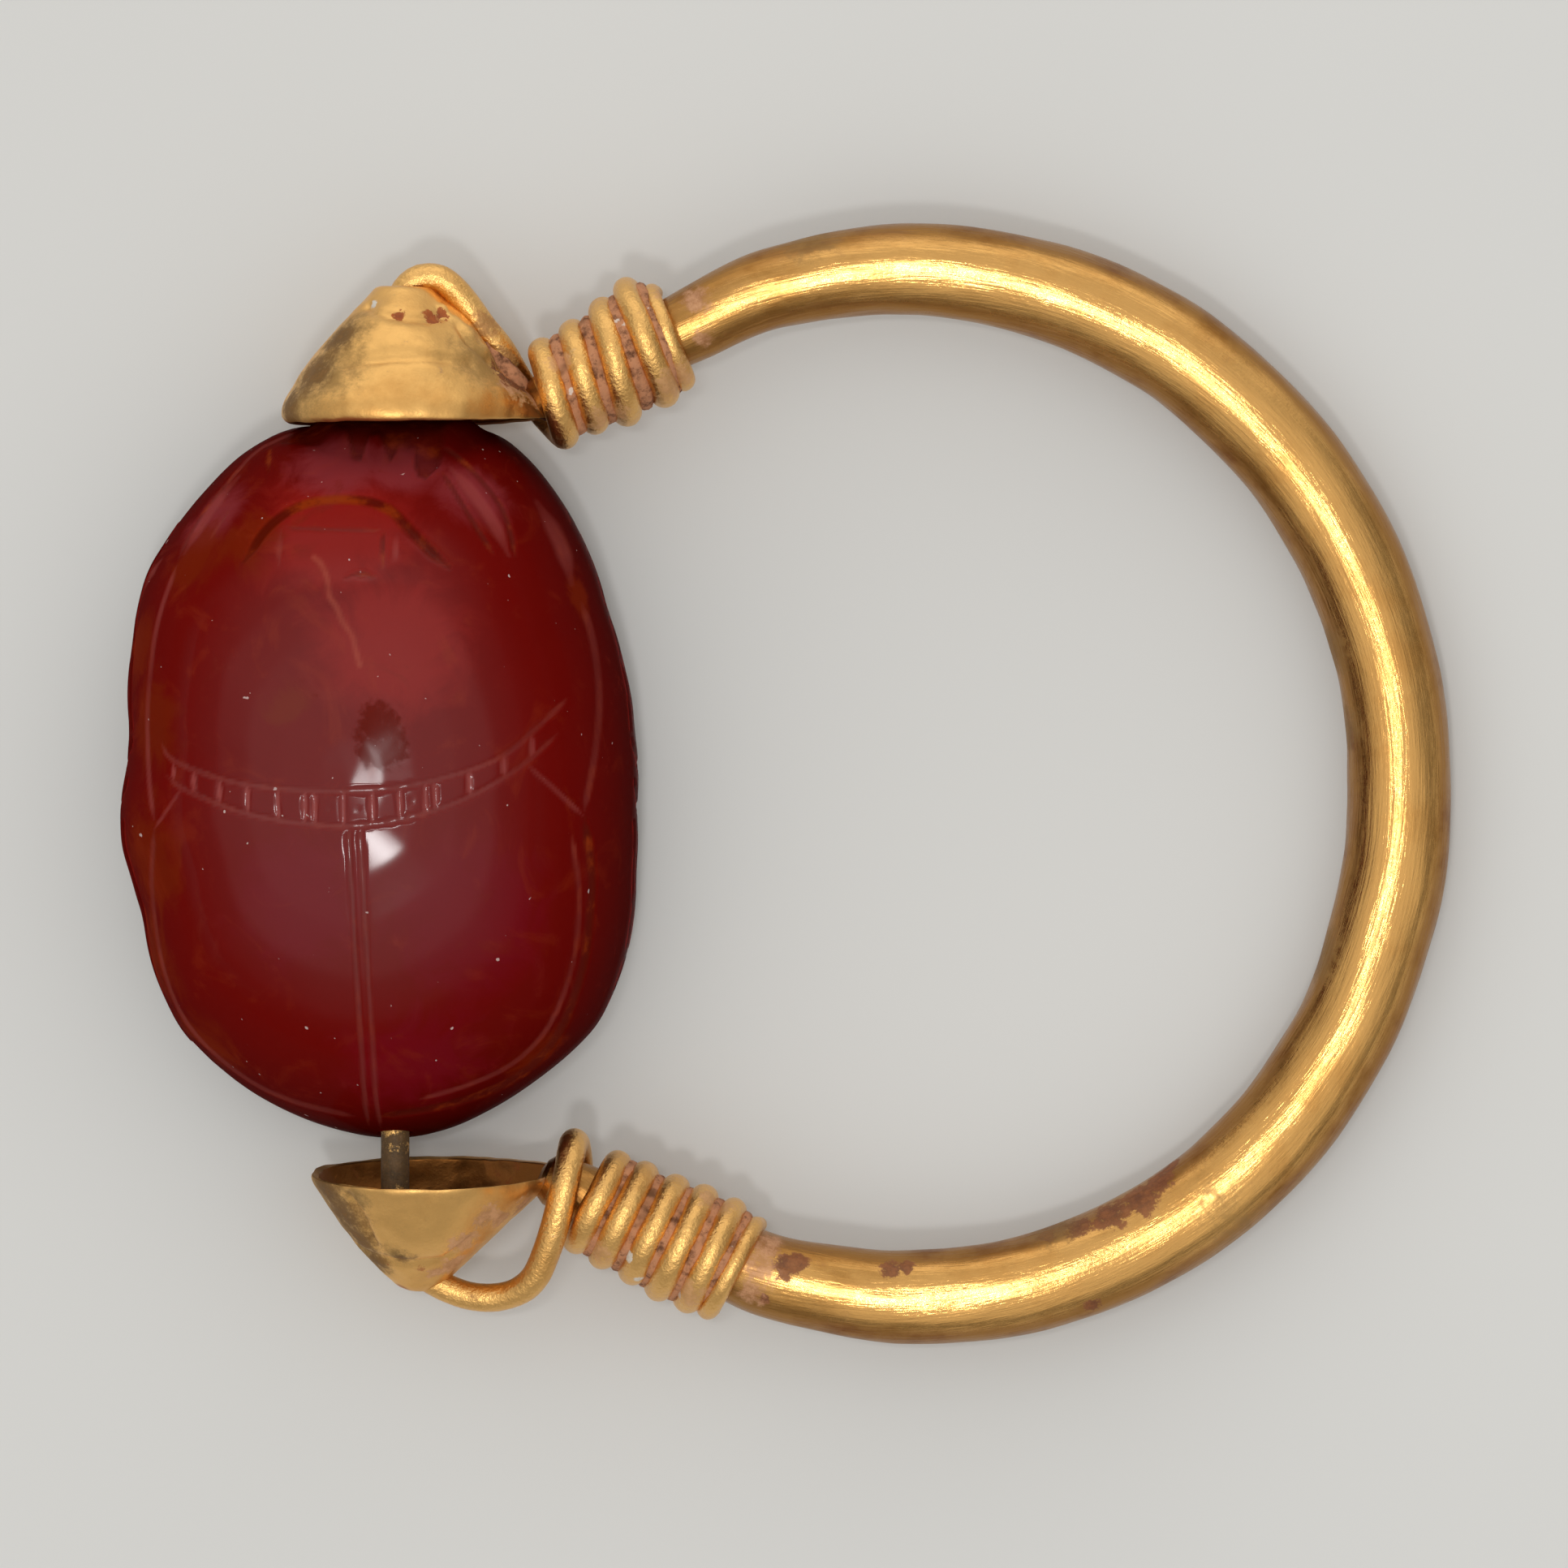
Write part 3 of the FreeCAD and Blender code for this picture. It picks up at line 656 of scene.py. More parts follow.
def pull_tongue(cone, rim, side, tip, reach, width):
    """Draw the hoop's side of the mouth out to the tongue's tip, narrower and narrower."""
    rows = points_of(cone) / MM
    near_mouth = 1 - smooth_step(MOUTH_BAND, reach, (rows[:, 1] - rim) * side)
    sideways = np.arctan2(rows[:, 2], rows[:, 0])
    pull = np.clip(np.cos(sideways), 0, 1) ** 3 * near_mouth
    rows[:, 0] += pull * (tip[0] - rows[:, 0])
    rows[:, 1] += pull * (tip[1] - rim) * TIP_FOLLOWS
    pinch = smooth_step(PINCH_FROM, tip[0], rows[:, 0]) * near_mouth
    rows[:, 2] *= 1 - pinch * (1 - width)
    move_points(cone, rows * MM)


# %% [markdown]
# ### Dents, creases and a pleat
#
# The sheet was pressed by hand and has creases that the picture shows, so their places are pixels
# again, this time on the wall that faces the viewer. On the upper cup the sheet also stands up in a
# ragged pleat beside the loop. Bump in the material could fake all of it, but not at the outline.
# After that the sheet gets its thickness. The inner wall carries a value that paints its gold
# browner: partly painted shade, since no light reaches it, and partly tarnish that no rubbing
# took off.

# %% Places on the near wall of a cup
SHALLOWEST = 0.01


def near_wall(px, py, rim, side, levels):
    """The place of a picture point on the near wall of a cup, in the hoop's plane."""
    place = picture_point(px, py)
    heights, radii, shifts = zip(*levels)
    height = (place.y - rim) * side
    radius, shift = np.interp(height, heights, radii), np.interp(height, heights, shifts)
    place.z = math.sqrt(max(radius ** 2 - (place.x - shift) ** 2, SHALLOWEST))
    return place


def creases_on(wall, lines):
    """Lines of pixels as lines on the near wall of a cup."""
    return [[near_wall(px, py, *wall) for px, py in line] for line in lines]


def distance_in_space(line, rows):
    """How far each row of points lies from a line of places."""
    best = np.full(len(rows), 1e9)
    for start, end in zip(line, line[1:]):
        start, run = np.array(start), np.array(end) - np.array(start)
        along = np.clip((rows - start) @ run / (run @ run), 0, 1)
        best = np.minimum(best, np.linalg.norm(rows - start - along[:, None] * run, axis=1))
    return best


# %% Dent and thicken a sheet
SHEET_THICKNESS = 0.14
PLEAT_HEIGHT, PLEAT_WIDTH = 0.13, 0.16
CREASE_DEPTH, CREASE_WIDTH = 0.075, 0.1


def refine(cone):
    """Turn the faces outwards and divide them twice."""
    select_only(cone)
    bpy.ops.object.mode_set(mode="EDIT")
    bpy.ops.mesh.select_all(action="SELECT")
    bpy.ops.mesh.normals_make_consistent(inside=False)
    bpy.ops.object.mode_set(mode="OBJECT")
    finer = cone.modifiers.new("finer", "SUBSURF")
    finer.levels = finer.render_levels = 2
    bpy.ops.object.modifier_apply(modifier="finer")


def dent(cone, seed, dents, pleat, creases):
    """Push the sheet in and out: soft waves, dents, a ragged pleat and creases."""
    rows = points_of(cone)
    push = wobble(rows, 900, seed) * 0.05 + wobble(rows, 2600, seed + 1) * 0.022
    for place, spread, amount in dents:
        push -= amount * bell(np.linalg.norm(rows / MM - place, axis=1), spread)
    ragged = 0.5 + wobble(rows, 3600, seed + 2)
    push += PLEAT_HEIGHT * ragged * bell(distance_in_space(pleat, rows / MM), PLEAT_WIDTH)
    for line in creases:
        push -= CREASE_DEPTH * bell(distance_in_space(line, rows / MM), CREASE_WIDTH)
    move_points(cone, rows + normals_of(cone) * (push * MM)[:, None])


def thicken(cone):
    """Thicken the sheet inwards, and mark what faces the axle for painted shade and tarnish."""
    sheet = cone.modifiers.new("sheet", "SOLIDIFY")
    sheet.thickness = SHEET_THICKNESS * MM
    sheet.offset = -1
    sheet.use_even_offset = True
    bpy.ops.object.modifier_apply(modifier="sheet")
    rows, facing = points_of(cone) / MM, normals_of(cone)
    reach = np.hypot(rows[:, 0], rows[:, 2])
    inward = -(facing[:, 0] * rows[:, 0] + facing[:, 2] * rows[:, 2]) / np.maximum(reach, 0.1)
    carry(cone, "inner_shade_and_tarnish", smooth_step(0.1, 0.4, inward))


# %% [markdown]
# ### The upper cup
#
# The levels run from the mouth, whose edge is rolled over a little, to the open tip. They were read
# off the cup's outline in the picture, left and right at each height.

# %% Levels and creases of the upper cup
UPPER_LEVELS = [
    (0.0, 2.16, 0.06), (0.04, 2.22, 0.04), (0.16, 2.25, 0.0), (0.4, 2.2, 0.0), (0.62, 2.06, 0.02),
    (0.9, 1.9, 0.04), (1.2, 1.72, 0.08), (1.6, 1.46, 0.12), (1.9, 1.22, 0.12), (2.2, 0.95, 0.12),
    (2.45, 0.72, 0.14), (2.6, 0.6, 0.16), (2.64, 0.54, 0.16), (2.66, 0.46, 0.16),
]
UPPER_WALL = (UPPER_RIM, 1, UPPER_LEVELS)
UPPER_CREASES = creases_on(UPPER_WALL, [
    [(452, 377), (464, 387), (482, 393), (505, 396), (528, 396), (548, 390)],
    [(430, 452), (462, 446), (500, 443), (545, 446), (580, 452)],
    [(560, 400), (575, 425), (600, 455), (612, 470)],
])
UPPER_DENTS = [
    ((1.0, 8.9, 1.0), 0.5, 0.06), ((-0.4, 9.3, 0.6), 0.35, 0.05), ((1.6, 8.3, 0.3), 0.7, -0.14),
    ((1.1, 8.9, 0.0), 0.5, -0.1),
]
UPPER_PLEAT = [(0.95, 9.2, 0.55), (1.35, 8.75, 0.6), (1.8, 8.2, 0.6), (2.1, 7.85, 0.5)]
print("%d creases and %d dents" % (len(UPPER_CREASES), len(UPPER_DENTS)))

# %% The upper cup
upper_cup = sheet_cone("upper_cup_sheet", *UPPER_WALL)
pull_tongue(upper_cup, UPPER_RIM, 1, tip=(3.0, 7.1), reach=1.0, width=0.42)
refine(upper_cup)
dent(upper_cup, 11, UPPER_DENTS, UPPER_PLEAT, UPPER_CREASES)
thicken(upper_cup)
settle(upper_cup, "ring", "sheet_gold", "upper_cup")

# %% [markdown]
# ### The lower cup
#
# The same steps make the lower cup. It sits crooked on the wire, with its mouth turned a few
# degrees towards the viewer, so the cone is tilted about its rim before its tongue is pulled.

# %% Levels and creases of the lower cup
LOWER_LEVELS = [
    (0.0, 2.10, 0.48), (0.04, 2.13, 0.48), (0.25, 2.02, 0.5), (0.5, 1.88, 0.52), (0.9, 1.66, 0.52),
    (1.2, 1.42, 0.5), (1.5, 1.13, 0.46), (1.75, 0.87, 0.46), (1.95, 0.68, 0.46), (2.12, 0.5, 0.44),
    (2.22, 0.36, 0.42), (2.28, 0.22, 0.42),
]
LOWER_WALL = (LOWER_RIM, -1, LOWER_LEVELS)
LOWER_CREASES = creases_on(LOWER_WALL, [
    [(440, 1535), (470, 1550), (510, 1556), (548, 1552), (580, 1528)],
    [(436, 1470), (450, 1500), (462, 1530)],
])
LOWER_DENTS = [((1.6, -8.3, 0.9), 0.5, 0.07)]
print("%d creases and %d dent" % (len(LOWER_CREASES), len(LOWER_DENTS)))

# %% The lower cup
MOUTH_TILT = 7

lower_cup = sheet_cone("lower_cup_sheet", *LOWER_WALL)
tilt = Matrix.Rotation(math.radians(MOUTH_TILT), 4, "X")
hinge = Vector((0, LOWER_RIM * MM, 0))
lower_cup.data.transform(Matrix.Translation(hinge) @ tilt @ Matrix.Translation(-hinge))
pull_tongue(lower_cup, LOWER_RIM, -1, tip=(3.1, -7.45), reach=0.9, width=0.4)
refine(lower_cup)
dent(lower_cup, 13, LOWER_DENTS, (), LOWER_CREASES)
thicken(lower_cup)
settle(lower_cup, "ring", "sheet_gold", "lower_cup")

# %% [markdown]
# ## The carved beetle
#
# The bead is a dome on a flat face. A squashed sphere could stand for it, but its poles would
# crowd the mesh where the engraving needs even steps. So it starts as a fine grid, which is laid
# over the dome as cloth over a loaf: each point of the square grid gets a place on a disc, and the
# disc's distance from its middle tells how far down the dome the point lies. The rim of the grid
# is then extruded down to the flat face. The outline was measured in the picture and leans to one
# side, as the real bead does.

# %% The outline of the bead
OUTLINE = [
    (4.61, -0.55), (4.55, 1.02), (4.36, 2.3), (4.03, 3.38), (3.66, 4.5), (3.14, 5.5), (2.5, 6.3),
    (1.95, 6.78), (1.2, 6.93), (0.0, 6.95), (-1.3, 6.95), (-2.2, 6.86), (-2.95, 6.45), (-3.55, 5.9),
    (-4.02, 5.4), (-4.38, 4.97), (-4.52, 4.72), (-4.88, 4.16), (-5.18, 2.75), (-5.24, 1.02),
    (-5.28, 0.35), (-5.43, -0.55), (-5.40, -1.25), (-5.2, -1.85), (-4.98, -2.59), (-4.8, -3.53),
    (-4.25, -4.79), (-3.6, -5.42), (-3.0, -5.91), (-2.2, -6.34), (-1.43, -6.66), (-0.5, -6.86),
    (0.3, -6.87), (1.1, -6.66), (1.9, -6.26), (2.5, -5.88), (3.2, -5.34), (3.87, -4.67),
    (4.22, -3.9), (4.49, -2.9), (4.6, -1.7),
]
MIDDLE = (-0.4, 0.0)
outline_rows = np.array(OUTLINE) - MIDDLE
outline_turn = np.arctan2(outline_rows[:, 1], outline_rows[:, 0])
outline_reach = np.hypot(outline_rows[:, 0], outline_rows[:, 1])
order = np.argsort(outline_turn)
outline_turn, outline_reach = outline_turn[order], outline_reach[order]

NUDGES = (-0.04, -0.02, 0, 0.02, 0.04)


def reach_at(turn):
    """How far the outline lies from the middle in a direction, evened out a little."""
    turns = np.concatenate([outline_turn - 2 * np.pi, outline_turn, outline_turn + 2 * np.pi])
    reaches = np.tile(outline_reach, 3)
    return sum(np.interp(turn + nudge, turns, reaches) for nudge in NUDGES) / len(NUDGES)


print("outline of %d points" % len(OUTLINE))

# %% [markdown]
# ### The profile
#
# The back is flattest on its crown and steepest at its widest level. From there the wall falls to
# the flat face, first upright and at last rounded in. Both are tables that were set against the
# construction model.

# %% Levels of the dome and of the wall below it
# each level: its share of the outline's reach, and its height
DOME = np.array([
    (0.0, 7.0), (0.12, 6.97), (0.26, 6.86), (0.40, 6.67), (0.54, 6.35), (0.67, 5.86),
    (0.77, 5.30), (0.85, 4.68), (0.91, 4.05), (0.955, 3.4), (0.985, 2.7), (1.0, 1.9),
])
WALL = [
    (1.0, 1.72), (0.999, 1.56), (0.997, 1.4), (0.995, 1.26), (0.991, 1.13), (0.987, 1.01),
    (0.983, 0.9), (0.979, 0.79), (0.976, 0.68), (0.974, 0.57), (0.972, 0.45), (0.970, 0.32),
    (0.966, 0.2), (0.958, 0.09), (0.945, 0.02), (0.925, 0.0),
]
print("%d levels from %.1f mm down to the flat face" % (len(DOME) + len(WALL), DOME[0, 1]))

# %% [markdown]
# ### The grid
#
# A square grid has no poles. A formula pushes its corners in until it is a round disc, and its
# squares stay nearly even.

# %% A grid laid on a disc
ACROSS, ALONG = 236, 316

select_nothing()
bpy.ops.mesh.primitive_grid_add(
    x_subdivisions=ACROSS, y_subdivisions=ALONG, size=2, location=(0, 0, 0))
beetle = bpy.context.object
beetle.name = "carnelian_beetle"
a, b = points_of(beetle)[:, :2].T
disc_x = a * np.sqrt(1 - b * b / 2)
disc_y = b * np.sqrt(1 - a * a / 2)
from_middle = np.clip(np.hypot(disc_x, disc_y), 0, 1)
direction = np.arctan2(disc_y, disc_x)
print("grid of %d points" % len(a))

# %% [markdown]
# ### Even steps over the dome
#
# Seen from above, the flanks are steep, and equal steps in the plan would leave them few points.
# The steps follow the slope of the dome instead: its run is measured in short pieces and shared out
# evenly.

# %% From the disc to the plan of the bead
PIECES = 400
SLOPE_WIDTH, SLOPE_HEIGHT = 5.6, 0.6
HALF_WIDTH, HALF_LENGTH = 5.0, 6.87

knots = np.linspace(0, len(DOME) - 1, PIECES)
curve_share = np.interp(knots, np.arange(len(DOME)), DOME[:, 0])
curve_height = np.interp(knots, np.arange(len(DOME)), DOME[:, 1])
steps = np.hypot(np.diff(curve_share * SLOPE_WIDTH), np.diff(curve_height) * SLOPE_HEIGHT)
slope_run = np.concatenate([[0], np.cumsum(steps)])
slope_run /= slope_run[-1]
share = np.interp(from_middle, slope_run, curve_share)
plan_turn = np.arctan2(np.sin(direction) * HALF_LENGTH, np.cos(direction) * HALF_WIDTH)
reach = reach_at(plan_turn)
plan_x = MIDDLE[0] + share * reach * np.cos(plan_turn)
plan_y = MIDDLE[1] + share * reach * np.sin(plan_turn)
print("plan of %.1f by %.1f mm" % (np.ptp(plan_x), np.ptp(plan_y)))

# %% [markdown]
# ### A smooth dome
#
# Straight pieces between the levels would show as rings in the polish. The profile is evened out by
# a moving average, and is first carried on past both of its ends, so that they keep their slope.

# %% Raise the grid into the dome
PROFILE_STEPS = 600
SMOOTHING = 41

smooth_share = np.linspace(0, 1, PROFILE_STEPS)
rough = np.interp(smooth_share, DOME[:, 0], DOME[:, 1])
kernel = np.hanning(SMOOTHING)
kernel /= kernel.sum()
margin = SMOOTHING // 2
onward = rough[-2:-2 - margin:-1]
onward = onward - 2 * (onward - rough[-1])
smooth = np.convolve(np.concatenate([rough[margin:0:-1], rough, onward]), kernel, mode="valid")
height = np.interp(share, smooth_share, smooth)
move_points(beetle, np.stack([plan_x, plan_y, height], 1) * MM)
print("dome from %.2f to %.2f mm" % (height.max(), height.min()))

# %% [markdown]
# ### The wall and the flat face
#
# The open rim is the only edge with a face on one side, which is how it is selected. It is extruded
# level by level, each a little smaller, and closed with one face. An inset keeps the shading of
# that face flat up to its edge.

# %% Extrude the wall down to the flat face
FACE_INSET = 0.4

select_only(beetle)
bpy.ops.object.mode_set(mode="EDIT")
bpy.ops.mesh.select_all(action="DESELECT")
bpy.ops.mesh.select_mode(type="EDGE")
bpy.ops.mesh.select_non_manifold(extend=False)
level_share, level_height = 1.0, smooth[-1]
for next_share, next_height in WALL:
    bpy.ops.mesh.extrude_region_move(
        TRANSFORM_OT_translate={"value": (0, 0, (next_height - level_height) * MM)})
    scale = next_share / level_share
    bpy.ops.transform.resize(
        value=(scale, scale, 1),
        center_override=(MIDDLE[0] * MM, MIDDLE[1] * MM, next_height * MM))
    level_share, level_height = next_share, next_height
bpy.ops.mesh.edge_face_add()
bpy.ops.mesh.inset(thickness=FACE_INSET * MM)
bpy.ops.mesh.select_all(action="SELECT")
bpy.ops.mesh.normals_make_consistent(inside=False)
bpy.ops.object.mode_set(mode="OBJECT")
print("closed bead of %d points" % len(beetle.data.vertices))

# %% [markdown]
# ### Carving
#
# The engraver's wheel left round-bottomed grooves. Each groove is a line of points in the plan with
# a width and a depth, and every vertex near the line is lowered. Cutting them out with a Boolean
# would give hard edges. The places are pixels of the picture. The camera looks square at the
# hoop, and the bead lies flat while the hoop leans, so a place high on the back shifts a little.

# %% From picture places to the bead
LEAN_SHIFT = math.tan(LEAN)
ROUNDS = 3


def on_back(places):
    """Places in the picture as plan places on the bead's back, in millimetres."""
    rows = []
    for px, py in places:
        x, y, _ = picture_point(px, py)
        for _ in range(ROUNDS):
            turn = math.atan2(y - MIDDLE[1], x - MIDDLE[0])
            part = math.hypot(x - MIDDLE[0], y - MIDDLE[1]) / float(reach_at(np.array(turn)))
            level = float(np.interp(min(part, 1), smooth_share, smooth))
            x = picture_point(px, py).x / math.cos(LEAN) + (level - AXIS_HEIGHT) * LEAN_SHIFT
        rows.append((x, y))
    return np.array(rows)


def rounded(line, times=2):
    """Corners of a line cut off, so that a groove through few points runs smoothly."""
    for _ in range(times):
        near, far = line[:-1] * 0.75 + line[1:] * 0.25, line[:-1] * 0.25 + line[1:] * 0.75
        inner = np.stack([near, far], 1).reshape(-1, 2)
        line = np.concatenate([line[:1], inner, line[-1:]])
    return line


def distance_to(line, x, y):
    """How far each point lies from a line in the plan."""
    best = np.full(len(x), 1e9)
    for (x0, y0), (x1, y1) in zip(line, line[1:]):
        run_x, run_y = x1 - x0, y1 - y0
        length = max(run_x * run_x + run_y * run_y, 1e-12)
        along = np.clip(((x - x0) * run_x + (y - y0) * run_y) / length, 0, 1)
        best = np.minimum(best, np.hypot(x - x0 - along * run_x, y - y0 - along * run_y))
    return best


# %% [markdown]
# ### The lines of the beetle
#
# Head, plate, banded line and wing cases were engraved freehand. A row of the table is a line of
# pixels, half the groove's width and its depth in millimetres, and its warmth: how much of its
# bottom gets a painted glow of light through the stone, with painted glints. The rest is painted
# pale, partly for sand scouring and partly as painted highlight where the edges catch the light.

# %% Table of the grooves
GROOVES = [
    # arc of the head
    ([(307, 697), (316, 685), (334, 657), (359, 636), (389, 622), (426, 618), (457, 621),
      (471, 625), (492, 636), (507, 654), (523, 670), (541, 688), (560, 704)], 0.10, 0.09, 0.9),
    # plate behind the head
    ([(358, 655), (478, 658)], 0.045, 0.03, 0.5),
    ([(354, 656), (351, 700)], 0.09, 0.035, 0.3),
    ([(478, 656), (479, 704)], 0.05, 0.045, 0.7),
    ([(494, 660), (494, 700)], 0.06, 0.03, 0.0),
    ([(434, 716), (444, 712), (459, 712), (470, 716)], 0.075, 0.07, 0.7),
    # edges of the head's side plates, and the flutes on them
    ([(366, 532), (341, 543), (316, 557), (288, 592), (260, 622), (238, 656), (224, 690)],
     0.05, 0.06, 0.5),
    ([(297, 590), (270, 618), (249, 650), (232, 684)], 0.13, 0.06, 0.0),
    ([(290, 627), (276, 648), (264, 668)], 0.035, 0.025, 0.4),
    ([(200, 690), (188, 708), (181, 724)], 0.09, 0.04, 0.0),
    ([(336, 551), (334, 566), (335, 586)], 0.06, 0.09, 0.8),
    ([(547, 584), (566, 612), (585, 643), (612, 686)], 0.05, 0.06, 0.7),
    ([(558, 580), (592, 617), (616, 655), (630, 688)], 0.12, 0.055, 0.0),
    ([(544, 556), (562, 559), (602, 600), (627, 636), (638, 690)], 0.05, 0.07, 0.7),
    ([(662, 620), (681, 650), (697, 684), (706, 722)], 0.13, 0.05, 0.2),
    # between thorax and wing cases
    ([(205, 915), (216, 938), (285, 962), (345, 972), (420, 976), (487, 973), (545, 962),
      (610, 942), (650, 915), (702, 862)], 0.05, 0.045, 0.2),
    ([(212, 955), (230, 972), (304, 1000), (350, 1010), (396, 1016), (440, 1018), (487, 1013),
      (540, 1000), (595, 978), (655, 940), (690, 905)], 0.05, 0.045, 0.2),
    # middle of the wing cases
    ([(438, 1018), (446, 1150), (452, 1290), (456, 1386)], 0.05, 0.07, 0.3),
    ([(452, 1018), (460, 1150), (466, 1290), (471, 1390)], 0.05, 0.06, 0.3),
    # shoulder lines
    ([(653, 942), (690, 975), (722, 1006)], 0.045, 0.04, 0.0),
    ([(232, 972), (212, 1000), (196, 1022)], 0.04, 0.03, 0.0),
    # edge of the wing cases
    ([(723, 1007), (731, 1060), (732, 1100), (724, 1184), (697, 1268), (650, 1322), (590, 1350),
      (530, 1366), (469, 1374)], 0.07, 0.08, 0.8),
    ([(708, 1030), (718, 1100), (712, 1180), (686, 1256), (640, 1308), (580, 1336), (520, 1352)],
     0.045, 0.03, 0.3),
    ([(722, 1000), (735, 940), (742, 870), (735, 800), (718, 745)], 0.06, 0.04, 0.3),
    ([(196, 1022), (190, 1100), (202, 1190), (236, 1270), (300, 1330), (370, 1360), (440, 1374)],
     0.06, 0.045, 0.3),
    ([(196, 1010), (186, 930), (188, 850), (198, 770), (222, 700)], 0.06, 0.035, 0.0),
]
BAND_TOP, BAND_FOOT = 15, 16  # rows of the table between which the bars stand
print("%d grooves" % len(GROOVES))

# %% Bars and cells of the banded line, the dark patch and the vein
BARS = [221, 247, 280, 315, 352, 385, 397, 432, 467, 500, 531, 543, 584, 625, 659]
CELLS = [415, 450, 484, 516]
DARK_PATCH_PLACES = [(462, 926), (466, 896), (474, 882), (484, 896), (492, 926), (478, 930)]
VEIN = [
    (395, 691), (404, 698), (412, 716), (414, 740), (424, 752), (430, 770), (444, 786), (447, 804),
    (452, 822),
]
print("%d bars and %d marked cells" % (len(BARS), len(CELLS)))

# %% [markdown]
# ### How a groove is cut
#
# The wheel sank in the middle of a stroke and rose at both of its ends, so a groove gets narrower
# and shallower there. The cuts aren't made at once: the deepest one at each point is kept, so that
# crossing grooves don't add up. Two more rows of numbers note where the bottom of a groove gets
# the painted glow and where it is painted pale, as scouring and painted highlight.

# %% How a groove is cut
GLOW_PLUS_PALENESS = 0.9

rows = points_of(beetle) / MM
x, y, z = rows.T
back = smooth_step(2.2, 2.8, z)
cut, painted_groove_glow, pale_scour_and_highlight = np.zeros((3, len(rows)))


def engrave(line, half_width, depth, warmth, run_out=0.15, paleness=None):
    """Lower the points near a line, and mark its bottom for the painted glow and the pale paint."""
    paleness = GLOW_PLUS_PALENESS - warmth if paleness is None else paleness
    near = distance_to(line, x, y)
    from_tips = [np.hypot(x - tip[0], y - tip[1]) for tip in (line[0], line[-1])]
    left = 0.35 + 0.65 * smooth_step(0, run_out, np.minimum(*from_tips))
    inside = (1 - smooth_step(half_width * 0.4 * left, half_width * 1.25 * left, near)) * left
    np.maximum(cut, depth * inside, out=cut)
    np.maximum(painted_groove_glow, warmth * inside, out=painted_groove_glow)
    np.maximum(pale_scour_and_highlight, paleness * inside, out=pale_scour_and_highlight)


def level_at(number, px):
    """The height in the picture of a groove at a distance along it."""
    across, down = zip(*GROOVES[number][0])
    return np.interp(px, across, down)


# %% Cut the grooves, the bars and the cells
FINE_LINE, FINE_DEPTH = 0.05, 0.05

for places, half_width, depth, warmth in GROOVES:
    engrave(rounded(on_back(places)), half_width, depth, warmth, half_width * 5)
# the bars are painted pale: sand scouring, and painted highlight where they catch the light
for px in BARS:
    bar = on_back([(px, level_at(BAND_TOP, px)), (px + 1, level_at(BAND_FOOT, px))])
    engrave(bar, FINE_LINE, FINE_DEPTH, 0.0, paleness=1.7)
for px in CELLS:
    middle = (level_at(BAND_TOP, px) + level_at(BAND_FOOT, px)) / 2
    engrave(on_back([(px - 1, middle), (px + 1, middle)]), FINE_LINE, FINE_DEPTH, 0.4)
print("deepest groove %.2f mm" % cut.max())

# %% [markdown]
# ### The toothed plate
#
# The beetle's head ends in a plate with teeth, and the stone in front of them was cut back. That is
# everything beyond the teeth's outline, lowered by one step with a soft edge.

# %% Cut back the stone in front of the toothed plate
TEETH = [
    (322, 560), (341, 550), (366, 550), (396, 552), (408, 546), (430, 548), (438, 570), (447, 572),
    (457, 554), (469, 552), (484, 573), (494, 562), (512, 564), (517, 592), (528, 596), (544, 580),
    (552, 564),
]
STEP_BACK = 0.2
HEAD_FROM = 4

teeth = on_back(TEETH)
left_tooth, right_tooth = teeth[0, 0], teeth[-1, 0]
front = smooth_step(-0.02, 0.06, y - np.interp(x, teeth[:, 0], teeth[:, 1]))
front *= smooth_step(left_tooth, left_tooth + 0.2, x)
front *= 1 - smooth_step(right_tooth - 0.2, right_tooth, x)
front *= y > HEAD_FROM
cut = np.maximum(cut, front * STEP_BACK)
# the stone before the teeth gets half of the painted glow of a groove
painted_groove_glow = np.maximum(painted_groove_glow, front * 0.5)
rows[:, 2] -= cut * back
vein = 1 - smooth_step(0.01, 0.085, distance_to(rounded(on_back(VEIN)), x, y))
dark_patch = 1 - smooth_step(0.1, 0.5, distance_to(on_back(DARK_PATCH_PLACES), x, y))
print("deepest cut %.2f mm" % cut.max())

# %% [markdown]
# ### Legs
#
# Below the edge of the wing cases the legs are folded against the flank. They can't be seen from
# above, and are given in the way that is usual for such beetles: three pairs, engraved. Their lines
# have a place along the bead and a height, and the points of the flank are pushed inwards.

# %% Engrave the legs on the flanks
LEG_LINES = [
    [(1.1, 3.5), (2.8, 3.2), (4.5, 2.6), (5.5, 1.7), (5.7, 1.2)],
    [(1.3, 2.7), (2.8, 2.45), (4.1, 2.0), (4.8, 1.45), (4.6, 1.0)],
    [(0.8, 3.5), (0.2, 2.5), (0.5, 1.6), (1.3, 1.0)],
    [(0.0, 3.5), (-0.6, 2.4), (-0.3, 1.5), (0.3, 1.0)],
    [(-0.8, 3.5), (-2.8, 3.2), (-4.5, 2.6), (-5.5, 1.6), (-5.6, 1.2)],
    [(-1.0, 2.7), (-2.8, 2.4), (-4.1, 1.9), (-4.8, 1.35), (-4.5, 1.0)],
    [(-6.4, 0.6), (6.4, 0.6)],
]
LEG_WIDTH, LEG_DEPTH = 0.15, 0.085
RIGHT_LOWER = 0.6

